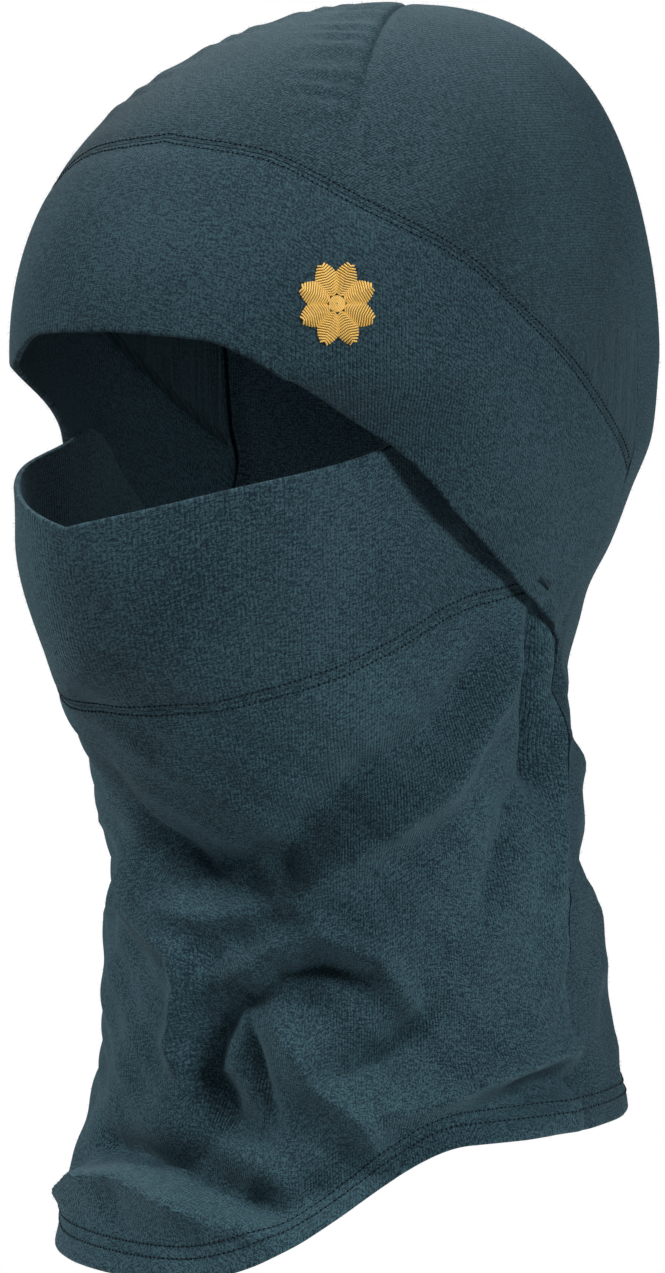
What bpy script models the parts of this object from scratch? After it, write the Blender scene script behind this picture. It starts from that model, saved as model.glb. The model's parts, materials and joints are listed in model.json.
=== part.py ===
"""A knitted balaclava with a hinged lower face cover, as separate sewn pieces.

Sizes are in metres. +Z is up, -Y is the wearer's front and +X is the wearer's left.
The origin is on the head's vertical axis, level with the highest point of the crown.
The garment is described as it is shaped when a head of about 55 cm fills it.
"""
import math

import bmesh
import bpy
import numpy as np
from mathutils import Matrix

# ---- cloth and sewing ------------------------------------------------------------------
CLOTH = 0.0008                # one layer of the brushed jersey
GAP = 0.0003                  # clearance between touching pieces
THREAD = 0.0005               # width and height of a needle thread
ROW_PITCH = 0.0030            # between the two needle rows of a coverstitch
LOOPER_WIDTH = 0.0044         # the looper threads on the inside of a coverstitch
OVERLOCK_WIDTH = 0.0052       # overlocked allowance on the inside of a plain seam
OVERLOCK_DEPTH = 0.0010
HEM_DEPTH = 0.0090            # turned-up hem

# ---- the head that the hood is shaped for ----------------------------------------------
CROWN_HEIGHT = 0.095          # from the widest level up to the top of the crown
HEAD_HALF_WIDTH = 0.077
HEAD_FRONT = 0.0955           # from the widest level's centre forward
HEAD_BACK = 0.099
CROWN_SET_BACK = 0.033        # the top of the crown lies this far behind the widest level's centre
SET_BACK_CURVE = 2.3          # how late the crown starts to lean back
LEVEL_CENTRE = 0.001
ROUNDNESS = 2.1               # 2 is an ellipse, more is boxier
BROW_ROUNDNESS = 2.6          # of the profile in front, and behind
NAPE_ROUNDNESS = 1.95

# Below the widest level: height, half width, centre, reach to the front, reach to the back.
NECK_LEVELS = (
    (-0.095, HEAD_HALF_WIDTH, LEVEL_CENTRE, HEAD_FRONT, HEAD_BACK),
    (-0.115, 0.0755, 0.0040, 0.0715, 0.0930),
    (-0.130, 0.0718, 0.0065, 0.0710, 0.0805),
    (-0.144, 0.0676, 0.0090, 0.0610, 0.0690),
    (-0.167, 0.0610, 0.0075, 0.0450, 0.0540),
    (-0.195, 0.0600, 0.0070, 0.0450, 0.0560),
    (-0.238, 0.0655, 0.0086, 0.0500, 0.0635),
    (-0.285, 0.0705, 0.0100, 0.0550, 0.0695),
    (-0.340, 0.0790, 0.0050, 0.0600, 0.0770),
)

# The lower front, over nose, chin and throat: height, half width, centre, front reach, roundness.
FRONT_LEVELS = (
    (-0.105, 0.0620, 0.0000, 0.1115, 1.85),
    (-0.138, 0.0630, 0.0000, 0.1115, 1.85),
    (-0.165, 0.0612, 0.0020, 0.1050, 1.85),
    (-0.188, 0.0604, 0.0040, 0.0890, 1.90),
    (-0.205, 0.0605, 0.0055, 0.0770, 1.95),
    (-0.222, 0.0618, 0.0070, 0.0675, 2.00),
    (-0.238, 0.0645, 0.0085, 0.0660, 2.00),
    (-0.285, 0.0695, 0.0095, 0.0675, 2.00),
    (-0.305, 0.0710, 0.0060, 0.0710, 2.00),
    (-0.340, 0.0780, 0.0010, 0.0800, 2.00),
)

# ---- seams and edges -------------------------------------------------------------------
# The seam between the front panels and the back panel: height, and its place from front to back.
SIDE_SEAM = (
    (0.000, 0.0340), (-0.060, 0.0365), (-0.095, 0.0400), (-0.123, 0.0410),
    (-0.144, 0.0320), (-0.167, 0.0210), (-0.195, 0.0180), (-0.340, 0.0170),
)
# Each edge below is a height at an angle in degrees round from the centre of the front.
CROWN_SEAM = (
    (0, -0.0340), (15, -0.0380), (32, -0.0530), (46, -0.0670), (55, -0.0810),
    (71, -0.1020), (90, -0.1230),
)
BRIM = (
    (0, -0.0830), (12, -0.0847), (17.5, -0.0896), (22.6, -0.0973), (27.5, -0.1067),
    (34, -0.1150), (42.7, -0.1300), (56.4, -0.1440), (68, -0.1530), (76, -0.1575),
    (90, -0.1670),
)
# These two turn round the hinge's own plane.
FACE_TOP = (
    (0, -0.1340), (8.5, -0.1300), (22, -0.1235), (44, -0.1160), (50, -0.1135),
    (56, -0.1163), (62, -0.1230), (76, -0.1370), (90, -0.1480),
)
FACE_SEAM = (
    (0, -0.1820), (14, -0.1805), (29.5, -0.1745), (48.7, -0.1645), (62, -0.1580),
    (76, -0.1545), (90, -0.1530), (97, -0.1640), (103.5, -0.1680),
)
HEM_FRONT = -0.3310           # lowest point of the hem, at the front
HEM_BACK = -0.2960
HEM_TURN = 18.6               # degrees from the front to the wearer's right, where the hem is lowest
HEM_REACH = 0.075             # the hem is at its lowest this far in front of the hinge's axis
HEM_STITCH_RISE = 0.0062      # from the hem's edge up to the middle of its coverstitch

# ---- the face cover's hinge ------------------------------------------------------------
HINGE_Y = 0.0070
HINGE_Z = -0.1550
FACE_TUCK = 0.0034            # the face cover's ends lie this far inside the hood
TUCK_STARTS = (26, 44)        # degrees over which it is drawn in
TUCK_SOFTENS = (68, 84)       # degrees over which it comes part of the way out again
TUCK_LOSS = 0.6
TUCK_HEIGHTS = (-0.175, -0.150)
JOIN_LOW = (88, 97.5)         # degrees over which it runs into the back panel's skin, below the brim
JOIN_HIGH = (97, 102)         # the same above it
JOIN_HEIGHTS = (-0.172, -0.164)

# ---- darts, embroidery and bar tacks ---------------------------------------------------
DART_ANGLE = 28               # from the centre of the front
DART_TIP = -0.0315
DART_WIDTH = 0.0036
DART_START = 0.42             # share of the way from the apex to its tip, where it starts
DART_FLARE = 1.15             # its width there, as a share of DART_WIDTH, falls off to the tip
MOTIF_ANGLE = 27
MOTIF_HEIGHT = -0.0765
MOTIF_HALF_WIDTH = 0.0088
MOTIF_HALF_HEIGHT = 0.0100
MOTIF_DEPTH = 0.0006
BACKING_MARGIN = 0.0030
BACKING_DEPTH = 0.0003
BACKING_CLEARANCE = 0.0007     # the band's flat facets stand in from its round skin
TACK_LENGTH = 0.0080
TACK_WIDTH = 0.0018
TACK_ANGLE = 72
TACK_ABOVE_BRIM = 0.0040

# ---- how finely the pieces are divided -------------------------------------------------
COLUMNS = 32
CROWN_ROWS = 8
BAND_ROWS = 5
BACK_COLUMNS = 12
NECK_ROWS = 8
SEAM_STEPS = 30
PATCH_STEPS = 8

COLOURS = {
    "band": (0.026, 0.050, 0.060), "crown": (0.036, 0.066, 0.077), "back": (0.022, 0.043, 0.052),
    "face": (0.027, 0.051, 0.061), "neck": (0.021, 0.041, 0.050), "thread": (0.034, 0.060, 0.070),
    "gold": (0.560, 0.340, 0.090), "backing": (0.620, 0.610, 0.580),
}


def smooth_curve(points):
    """A curve through (place, value) points that never overshoots between two of them."""
    points = sorted(points)
    at = np.array([p[0] for p in points], float)
    value = np.array([p[1] for p in points], float)
    step = np.diff(at)
    rise = np.diff(value) / step
    slope = np.zeros_like(value)
    slope[0], slope[-1] = rise[0], rise[-1]
    for k in range(1, len(at) - 1):
        if rise[k - 1] * rise[k] > 0:
            before, after = 2 * step[k] + step[k - 1], step[k] + 2 * step[k - 1]
            slope[k] = (before + after) / (before / rise[k - 1] + after / rise[k])

    def read(x):
        x = np.clip(np.asarray(x, float), at[0], at[-1])
        k = np.clip(np.searchsorted(at, x, side="right") - 1, 0, len(at) - 2)
        s = (x - at[k]) / step[k]
        ends = (1 + 2 * s) * (1 - s) ** 2 * value[k] + s * s * (3 - 2 * s) * value[k + 1]
        turns = s * (1 - s) ** 2 * slope[k] + s * s * (s - 1) * slope[k + 1]
        return ends + step[k] * turns

    return read


def ease(x, start, end):
    """0 before start, 1 after end, smooth between."""
    s = np.clip((x - start) / (end - start), 0, 1)
    return s * s * (3 - 2 * s)


def column(table, n):
    return smooth_curve([(row[0], row[n]) for row in table])


neck_width, neck_centre, neck_front, neck_back = (column(NECK_LEVELS, n) for n in (1, 2, 3, 4))
front_width, front_centre, front_reach, front_round = (column(FRONT_LEVELS, n) for n in (1, 2, 3, 4))
side_seam_y = smooth_curve(SIDE_SEAM)
crown_seam = smooth_curve(CROWN_SEAM)
brim = smooth_curve(BRIM)
face_top = smooth_curve(FACE_TOP)
face_seam = smooth_curve(FACE_SEAM)


def profile(up, power):
    """How far out the crown reaches at a share of its height, 1 at its widest level."""
    return (1 - up**power + 1e-9) ** (1 / power)


def hood_section(z):
    """Half width, centre, reach to the front and back, and roundness of the hood at a height."""
    up = np.clip((z + CROWN_HEIGHT) / CROWN_HEIGHT, 0, 1)
    above = z > -CROWN_HEIGHT
    centre = np.where(above, LEVEL_CENTRE + CROWN_SET_BACK * up**SET_BACK_CURVE, neck_centre(z))
    width = np.where(above, HEAD_HALF_WIDTH * profile(up, ROUNDNESS), neck_width(z))
    front = np.where(above, HEAD_FRONT * profile(up, BROW_ROUNDNESS), neck_front(z))
    back = np.where(above, HEAD_BACK * profile(up, NAPE_ROUNDNESS), neck_back(z))
    return width, centre, front, back, ROUNDNESS


def front_section(z):
    """The same for the lower front, over the face and the throat."""
    reach = front_reach(z)
    return front_width(z), front_centre(z), reach, reach, front_round(z)


def level_of(section, x, y, z):
    """Below 1 inside the skin, 1 on it."""
    width, centre, front, back, power = section(z)
    reach = np.where(y < centre, front, back)
    return (np.abs(x) / width) ** power + (np.abs(y - centre) / reach) ** power


def on_skin(section, turn, z, axis_y, lift=0.0):
    """The skin's point in the direction turn (radians from +X) from a vertical axis.

    lift moves it out along the skin's own normal.
    """
    turn, z, axis_y = np.broadcast_arrays(turn, np.minimum(z, -1e-7), axis_y)
    along, across = np.cos(turn), np.sin(turn)
    low, high = np.zeros(z.shape), np.full(z.shape, 0.25)
    for _ in range(30):
        middle = (low + high) / 2
        inside = level_of(section, middle * along, axis_y + middle * across, z) < 1
        low, high = np.where(inside, middle, low), np.where(inside, high, middle)
    x, y = low * along, axis_y + low * across
    small = 1e-5
    slope = [
        level_of(section, x + dx, y + dy, np.minimum(z + dz, -1e-9))
        - level_of(section, x - dx, y - dy, z - dz)
        for dx, dy, dz in ((small, 0, 0), (0, small, 0), (0, 0, small))
    ]
    normal = np.stack(slope, -1)
    normal[z > -1e-5] = (0, 0, 1)
    normal /= np.linalg.norm(normal, axis=-1, keepdims=True)
    return np.stack([x, y, z], -1) + normal * np.asarray(lift)[..., None], normal


def hood_point(degrees, z, lift=0.0, past_seam=0.0):
    """A point of the hood, at degrees round from the front, turning round the side seams' plane."""
    turn = np.radians(np.asarray(degrees, float) - 90)
    return on_skin(hood_section, turn, z, side_seam_y(z) + past_seam, lift)


def front_point(degrees, z, lift=0.0):
    """A point of the lower front, turning round the hinge's plane.

    Where the hood overlaps it, it is drawn in to lie inside. Towards the side seam it runs into
    the skin of the back panel.
    """
    degrees = np.asarray(degrees, float)
    turn = np.radians(degrees - 90)
    inner, normal = on_skin(front_section, turn, z, HINGE_Y, lift)
    away = np.abs(degrees)
    under_hood = ease(away, *TUCK_STARTS) * (1 - TUCK_LOSS * ease(away, *TUCK_SOFTENS))
    under_hood = under_hood * ease(z, *TUCK_HEIGHTS)
    inner = inner - normal * (FACE_TUCK * under_hood)[..., None]
    outer, outer_normal = on_skin(hood_section, turn, z, HINGE_Y, lift)
    below_hood = 1 - ease(z, *JOIN_HEIGHTS)
    share = np.maximum(ease(away, *JOIN_LOW) * below_hood, ease(away, *JOIN_HIGH))[..., None]
    return inner + (outer - inner) * share, normal + (outer_normal - normal) * share


def meet_side_seam(past_seam):
    """Degrees round from the front at which the lower front meets the side seam, by height."""
    z = np.linspace(-0.150, -0.340, 39)
    low, high = np.full(z.shape, 90.0), np.full(z.shape, 130.0)
    for _ in range(24):
        middle = (low + high) / 2
        before = front_point(middle, z)[0][:, 1] < side_seam_y(z) + past_seam
        low, high = np.where(before, middle, low), np.where(before, high, middle)
    return smooth_curve(list(zip(z, low)))


def slide_down(point, degrees, z, distance):
    """The height reached by going a distance down the skin."""
    normal = point(degrees, z)[1]
    return z - distance * np.hypot(normal[..., 0], normal[..., 1])


def hem_height(x, y):
    """Height of the hem's edge, level behind and dropping to the front, a little to the right."""
    turn = np.radians(HEM_TURN)
    forward = ease(-y * np.cos(turn) - x * np.sin(turn), 0, HEM_REACH)
    drop = ease(SIDE_SEAM[-1][1] - y, 0, 0.030) * forward
    return HEM_BACK + (HEM_FRONT - HEM_BACK) * drop


# ---- meshes ----------------------------------------------------------------------------
def cloth_material(name, colour, metallic=0.0, roughness=0.9):
    material = bpy.data.materials.new(name)
    material.use_nodes = True
    shader = material.node_tree.nodes["Principled BSDF"]
    shader.inputs["Base Color"].default_value = (*colour, 1)
    shader.inputs["Roughness"].default_value = roughness
    shader.inputs["Metallic"].default_value = metallic
    return material


def sheet(name, outer, inner, colour, closed=False):
    """A closed solid between two grids of points: rows, columns, place.

    A row whose points all meet becomes one point. A closed sheet is a ring of columns.
    """
    mesh = bmesh.new()
    rows, columns = outer.shape[:2]

    def corners(grid):
        made = []
        for row in grid:
            if np.ptp(row, axis=0).max() < 1e-6:
                made.append([mesh.verts.new(row[0])] * columns)
            else:
                made.append([mesh.verts.new(p) for p in row])
        return made

    def face(*verts):
        kept = [v for k, v in enumerate(verts) if v is not verts[k - 1]]
        if len(kept) > 2:
            mesh.faces.new(kept)

    out, back = corners(outer), corners(inner)
    spans = columns if closed else columns - 1
    for r in range(rows - 1):
        for c in range(spans):
            d = (c + 1) % columns
            face(out[r][c], out[r][d], out[r + 1][d], out[r + 1][c])
            face(back[r + 1][c], back[r + 1][d], back[r][d], back[r][c])
    for r in (0, rows - 1):
        if out[r][0] is not out[r][1]:
            for c in range(spans):
                d = (c + 1) % columns
                face(out[r][c], back[r][c], back[r][d], out[r][d])
    if not closed:
        for c in (0, columns - 1):
            for r in range(rows - 1):
                face(out[r][c], out[r + 1][c], back[r + 1][c], back[r][c])
    bmesh.ops.recalc_face_normals(mesh, faces=mesh.faces)
    data = bpy.data.meshes.new(name)
    mesh.to_mesh(data)
    mesh.free()
    data.shade_smooth()
    data.set_sharp_from_angle(angle=math.radians(40))
    data.materials.append(cloth_material(name, COLOURS[colour]))
    made = bpy.data.objects.new(name, data)
    bpy.context.collection.objects.link(made)
    return made


def turns(start, end, count=COLUMNS):
    return np.linspace(start, end, count + 1)


def set_pivot(made, y, z):
    """Move an object's origin onto the hinge without moving its mesh."""
    made.data.transform(Matrix.Translation((0, -y, -z)))
    made.location = (0, y, z)


def closer_at_top(share):
    """Steps down a seam, closer together where the crown is flat."""
    flat_part = 0.35
    return flat_part * share**2 + (1 - flat_part) * share**1.3


def crown_heights(degrees):
    """Rows of the crown panel, closer together towards the flat top."""
    edge = slide_down(hood_point, degrees, crown_seam(np.abs(degrees)), -GAP / 2)
    return np.linspace(0, 1, CROWN_ROWS + 1)[:, None] ** 2 * edge


def band_heights(degrees):
    top = slide_down(hood_point, degrees, crown_seam(np.abs(degrees)), GAP / 2)
    return top + (brim(np.abs(degrees)) - top) * np.linspace(0, 1, BAND_ROWS + 1)[:, None]


def add_crown():
    degrees = turns(-90, 90)
    z = crown_heights(degrees)
    outer, inner = (hood_point(degrees, z, lift, -GAP / 2)[0] for lift in (0, -CLOTH))
    sheet("crown_panel", outer, inner, "crown")


def add_forehead_band():
    degrees = turns(-90, 90)
    z = band_heights(degrees)
    outer, inner = (hood_point(degrees, z, lift, -GAP / 2)[0] for lift in (0, -2 * CLOTH))
    sheet("forehead_band", outer, inner, "band")


def add_back_panel():
    """Its rows meet the rows of the front panels at the side seams."""
    seam = np.array([90.0])
    beside = (crown_heights(seam)[:, 0], band_heights(seam)[1:, 0], neck_grid(0)[1:, -1, 2])
    z, degrees = np.broadcast_arrays(np.concatenate(beside)[:, None], turns(90, 270, BACK_COLUMNS))
    outer, inner = (hood_point(degrees, z, lift, GAP / 2)[0] for lift in (0, -CLOTH))
    sheet("back_panel", outer, inner, "back")


def neck_grid(lift, low_rise=0.0, top_rise=None):
    """Rows of the neck panel's points from the face seam to the hem, lift outside its skin.

    With top_rise it is two rows only, at these heights above the hem's edge.
    """
    side_turn = meet_side_seam(-GAP / 2)
    fraction = np.linspace(-1, 1, COLUMNS + 1)
    share = np.abs(fraction)
    low_z = np.full(fraction.shape, HEM_BACK)
    top_z = np.full(fraction.shape, HINGE_Z)
    for _ in range(12):
        place = front_point(np.sign(fraction) * share * side_turn(low_z), low_z)[0]
        low_z = hem_height(place[:, 0], place[:, 1])
        top_z = (top_z + face_seam(share * side_turn(top_z)) - GAP) / 2
    if top_rise is None:
        above_hem = top_z + (low_z + HEM_DEPTH - top_z) * np.linspace(0, 1, NECK_ROWS)[:, None]
        z = np.vstack([above_hem, low_z])
    else:
        z = np.vstack([low_z + top_rise, low_z + low_rise])
    return front_point(np.sign(fraction) * share * side_turn(z), z, lift)[0]


def add_neck_panel():
    outer, inner = (neck_grid(lift) for lift in (0, -CLOTH))
    sheet("neck_panel", outer, inner, "neck")


def hem_ring(name, lift, depth, low_rise, high_rise, colour):
    """A ring round the neck opening, following the hem's edge."""
    grids = []
    for out in (lift, lift - depth):
        front = neck_grid(out, low_rise, high_rise)
        rows = []
        for r, rise in enumerate((high_rise, low_rise)):
            around = hood_point(turns(90, 270, BACK_COLUMNS), HEM_BACK + rise, out, GAP / 2)[0]
            front_row = front[r]
            rows.append(np.vstack([front_row, around]))
        grids.append(np.array(rows))
    sheet(name, grids[0], grids[1], colour, closed=True)


def add_hem():
    hem_ring("hem_fold", -CLOTH - GAP, CLOTH, 0.0006, HEM_DEPTH, "neck")
    middle = HEM_STITCH_RISE
    for name, way in (("hem_stitch_upper", 1), ("hem_stitch_lower", -1)):
        rise = middle + way * ROW_PITCH / 2
        hem_ring(name, GAP + THREAD, THREAD, rise - THREAD / 2, rise + THREAD / 2, "thread")
    inside = -2 * CLOTH - 2 * GAP
    half = LOOPER_WIDTH / 2
    hem_ring("hem_looper_thread", inside, THREAD, middle - half, middle + half, "thread")


def add_face_band():
    degrees = turns(-90, 90)
    top, low = face_top(np.abs(degrees)), face_seam(np.abs(degrees))
    z = top + (low - top) * np.linspace(0, 1, BAND_ROWS + 1)[:, None]
    outer, inner = (front_point(degrees, z, lift)[0] for lift in (0, -2 * CLOTH))
    set_pivot(sheet("face_band", outer, inner, "face"), HINGE_Y, HINGE_Z)


def strip_along(name, point, degrees, z, half_width, high, low, colour):
    """A flat strip that runs round the garment along one line of a skin."""
    rows = [slide_down(point, degrees, z, way * half_width) for way in (-1, 1)]
    outer, inner = (np.array([point(degrees, row, lift)[0] for row in rows]) for lift in (high, low))
    return sheet(name, outer, inner, colour)


def add_crown_seam_threads():
    degrees = turns(-90, 90)[1:-1]
    seam = crown_seam(np.abs(degrees))
    for name, way in (("forehead_stitch_upper", -1), ("forehead_stitch_lower", 1)):
        z = slide_down(hood_point, degrees, seam, way * ROW_PITCH / 2)
        strip_along(name, hood_point, degrees, z, THREAD / 2, GAP + THREAD, GAP, "thread")
    top = -2 * CLOTH - GAP
    strip_along(
        "forehead_looper_thread", hood_point, degrees, seam, LOOPER_WIDTH / 2, top, top - THREAD, "thread"
    )


def add_face_seam_threads():
    degrees = turns(-90, 90)[2:-2]
    seam = face_seam(np.abs(degrees))
    made = []
    for name, way in (("face_stitch_upper", -1), ("face_stitch_lower", 1)):
        z = slide_down(front_point, degrees, seam, way * ROW_PITCH / 2)
        made.append(
            strip_along(name, front_point, degrees, z, THREAD / 2, GAP + THREAD, GAP, "thread")
        )
    top = -2 * CLOTH - GAP
    made.append(
        strip_along(
            "face_looper_thread", front_point, degrees, seam, LOOPER_WIDTH / 2, top, top - THREAD, "thread"
        )
    )
    for thread in made:
        set_pivot(thread, HINGE_Y, HINGE_Z)


def add_side_seams():
    """The overlocked allowance inside each seam between the front panels and the back panel."""
    top = -2 * CLOTH - 2 * GAP
    share = np.linspace(0.1, 1, SEAM_STEPS + 1)
    end = HEM_BACK + HEM_DEPTH + 3 * GAP
    z = end * closer_at_top(share)
    for name, degrees in (("side_seam_left", 90), ("side_seam_right", -90)):
        outer, inner = (
            np.array([
                hood_point(np.full(z.shape, degrees), z, lift, way * OVERLOCK_WIDTH / 2)[0]
                for way in (-1, 1)
            ])
            for lift in (top, top - OVERLOCK_DEPTH)
        )
        sheet(name, outer, inner, "thread")


def add_darts():
    """The sewn folds on the inside of the two crown darts."""
    share = np.linspace(DART_START, 1, 9)
    z = DART_TIP * share**2
    for name, side in (("crown_dart_left", 1), ("crown_dart_right", -1)):
        grids = []
        for lift in (-CLOTH - GAP, -CLOTH - GAP - OVERLOCK_DEPTH):
            rows = []
            for way in (-1, 1):
                degrees = np.full(z.shape, float(side * DART_ANGLE))
                centre = hood_point(degrees, z)[0]
                reach = np.hypot(centre[:, 0], centre[:, 1] - side_seam_y(z))
                half = DART_WIDTH / 2 * (DART_FLARE - share)
                spread = np.degrees((half + GAP) / reach)
                rows.append(hood_point(degrees + way * spread, z, lift)[0])
            grids.append(np.array(rows))
        sheet(name, grids[0], grids[1], "thread")


def patch(name, centre, normal, half_width, half_height, power, high, low, colour):
    """A thin rounded patch that follows the hood's skin round a point of it."""
    across = np.cross((0, 0, 1), normal)
    across /= np.linalg.norm(across)
    up = np.cross(normal, across)
    angle = np.linspace(0, 2 * math.pi, PATCH_STEPS * 2, endpoint=False)
    ring_x = np.sign(np.cos(angle)) * np.abs(np.cos(angle)) ** (2 / power) * half_width
    ring_y = np.sign(np.sin(angle)) * np.abs(np.sin(angle)) ** (2 / power) * half_height
    grids = []
    for lift in (high, low):
        rows = []
        for share in np.linspace(0, 1, 4):
            flat = centre + np.outer(ring_x * share, across) + np.outer(ring_y * share, up)
            y_axis = side_seam_y(flat[:, 2])
            degrees = np.degrees(np.arctan2(flat[:, 1] - y_axis, flat[:, 0])) + 90
            rows.append(hood_point(degrees, flat[:, 2], lift)[0])
        grids.append(np.array(rows))
    return sheet(name, grids[0], grids[1], colour, closed=True)


def add_embroidery():
    centre, normal = (v for v in hood_point(MOTIF_ANGLE, MOTIF_HEIGHT))
    patch(
        "embroidered_motif", centre, normal, MOTIF_HALF_WIDTH, MOTIF_HALF_HEIGHT, 2.0,
        GAP + MOTIF_DEPTH, GAP, "gold",
    )
    behind = -2 * CLOTH - BACKING_CLEARANCE
    patch(
        "embroidery_backing", centre, normal, MOTIF_HALF_WIDTH + BACKING_MARGIN,
        MOTIF_HALF_HEIGHT + BACKING_MARGIN, 2.6, behind, behind - BACKING_DEPTH, "backing",
    )


def add_bar_tacks():
    """Short dense stitches where the brim is held down over the ends of the face cover."""
    for name, side in (("bar_tack_left", 1), ("bar_tack_right", -1)):
        middle = float(brim(TACK_ANGLE)) + TACK_ABOVE_BRIM
        reach = hood_point(TACK_ANGLE, middle)[0]
        spread = math.degrees(TACK_LENGTH / 2 / math.hypot(reach[0], reach[1] - float(side_seam_y(middle))))
        degrees = side * turns(TACK_ANGLE - spread, TACK_ANGLE + spread, 4)
        z = middle + brim(np.abs(degrees)) - brim(TACK_ANGLE)
        strip_along(name, hood_point, degrees, z, TACK_WIDTH / 2, GAP + THREAD, GAP, "thread")


def main():
    for old in list(bpy.data.objects):
        bpy.data.objects.remove(old, do_unlink=True)
    add_crown()
    add_forehead_band()
    add_back_panel()
    add_neck_panel()
    add_hem()
    add_face_band()
    add_crown_seam_threads()
    add_face_seam_threads()
    add_side_seams()
    add_darts()
    add_embroidery()
    add_bar_tacks()


main()
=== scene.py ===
# %% [markdown]
# # A knitted balaclava
# A balaclava is sewn from flat pieces of stretchy jersey: a crown, a folded forehead band, a long
# back panel, a folded band over nose and mouth, and a neck tube that hangs in loose folds. This
# lesson builds each piece as a closed sheet with a real thickness, sews it with rows of stitches,
# and gives it a brushed, heathered jersey. The main sizes are those of the CAD model that loads first.

# %% Load the frame
import json
import math
from functools import partial

import bmesh
import bpy
import numpy as np
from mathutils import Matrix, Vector


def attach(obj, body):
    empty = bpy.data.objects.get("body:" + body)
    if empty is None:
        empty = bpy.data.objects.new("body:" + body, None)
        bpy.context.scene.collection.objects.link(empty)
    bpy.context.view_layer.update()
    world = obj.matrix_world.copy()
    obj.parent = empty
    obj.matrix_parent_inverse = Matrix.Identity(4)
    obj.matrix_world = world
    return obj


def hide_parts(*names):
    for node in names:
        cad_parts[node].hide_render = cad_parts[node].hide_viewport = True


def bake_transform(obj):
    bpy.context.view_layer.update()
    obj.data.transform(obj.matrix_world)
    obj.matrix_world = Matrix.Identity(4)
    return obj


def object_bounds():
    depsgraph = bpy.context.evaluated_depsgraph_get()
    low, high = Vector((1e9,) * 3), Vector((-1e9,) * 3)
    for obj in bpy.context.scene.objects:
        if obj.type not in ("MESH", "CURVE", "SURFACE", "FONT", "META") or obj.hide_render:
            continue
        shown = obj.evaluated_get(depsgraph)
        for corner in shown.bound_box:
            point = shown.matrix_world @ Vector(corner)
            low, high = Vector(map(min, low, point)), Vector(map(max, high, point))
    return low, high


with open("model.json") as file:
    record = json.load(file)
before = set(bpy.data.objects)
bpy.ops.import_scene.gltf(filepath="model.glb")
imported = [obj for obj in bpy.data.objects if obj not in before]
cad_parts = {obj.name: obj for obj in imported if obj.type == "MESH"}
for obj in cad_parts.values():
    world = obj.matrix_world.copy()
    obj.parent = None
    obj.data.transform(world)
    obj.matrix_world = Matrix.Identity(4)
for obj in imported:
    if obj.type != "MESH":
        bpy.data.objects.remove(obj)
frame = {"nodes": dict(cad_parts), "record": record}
CAD_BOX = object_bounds()
MM = 0.001
print("frame:", len(frame["nodes"]), "CAD pieces,", "box", [[round(v, 3) for v in c] for c in CAD_BOX])

# %% [markdown]
# The camera looks from the wearer's front left, a little above level, through a long lens. A long
# lens keeps the near and the far side of the hood the same size.

# %% Camera
VIEW_AZIMUTH = math.radians(38)
VIEW_ELEVATION = math.radians(5)
VIEW_DISTANCE = 1.8
FRAME_HEIGHT = 0.3374          # height of the picture at the object
VIEW_CENTRE_DROP = 0.1679      # from the origin down to the picture's centre
SENSOR = 24.0


def add_camera():
    back = Vector((
        math.sin(VIEW_AZIMUTH) * math.cos(VIEW_ELEVATION),
        -math.cos(VIEW_AZIMUTH) * math.cos(VIEW_ELEVATION),
        math.sin(VIEW_ELEVATION),
    ))
    turn = back.to_track_quat("Z", "Y")
    up = turn @ Vector((0, 1, 0))
    data = bpy.data.cameras.new("camera")
    data.sensor_fit = "VERTICAL"
    data.sensor_height = SENSOR
    data.lens = SENSOR * VIEW_DISTANCE / FRAME_HEIGHT
    camera = bpy.data.objects.new("camera", data)
    camera.rotation_euler = turn.to_euler()
    camera.location = back * VIEW_DISTANCE - up * VIEW_CENTRE_DROP
    bpy.context.collection.objects.link(camera)
    bpy.context.scene.camera = camera
    print("camera: lens", round(data.lens), "mm")


add_camera()

# %% [markdown]
# The hood and the lower front are two smooth skins. Each is described by a rounded section at a few
# heights, and a smooth curve runs through those numbers. The same tables shape the CAD model, so
# the cloth lies where the CAD solids are. An alternative is sculpting, but then every seam and
# stitch would have to be snapped to the sculpt. With a formula they can all ask for the same point.

# %% Sections of the two skins
CROWN_HEIGHT = 0.095
HEAD_HALF_WIDTH = 0.077
HEAD_FRONT = 0.0955           # from the widest level's centre forward
HEAD_BACK = 0.099
CROWN_SET_BACK = 0.033
LEVEL_CENTRE = 0.001
ROUNDNESS = 2.1               # 2 is an ellipse, more is boxier
BROW_ROUNDNESS = 2.6          # of the profile in front, and behind
NAPE_ROUNDNESS = 1.95
HINGE_Y = frame["record"]["behaviour"]["joints"][0]["pos_m"][1]
FACE_TUCK = 0.0034
HEM_FRONT, HEM_BACK, HEM_DEPTH = -0.331, -0.296, 0.009
HEM_TURN, HEM_REACH, HEM_STITCH_RISE = 18.6, 0.075, 0.0062
# height, half width, centre, reach to the front, reach to the back
NECK_LEVELS = (
    (-0.095, HEAD_HALF_WIDTH, LEVEL_CENTRE, HEAD_FRONT, HEAD_BACK),
    (-0.115, 0.0755, 0.0040, 0.0715, 0.0930),
    (-0.130, 0.0718, 0.0065, 0.0710, 0.0805),
    (-0.144, 0.0676, 0.0090, 0.0610, 0.0690),
    (-0.167, 0.0610, 0.0075, 0.0450, 0.0540),
    (-0.195, 0.0600, 0.0070, 0.0450, 0.0560),
    (-0.238, 0.0655, 0.0086, 0.0500, 0.0635),
    (-0.285, 0.0705, 0.0100, 0.0550, 0.0695),
    (-0.340, 0.0790, 0.0050, 0.0600, 0.0770),
)
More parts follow.
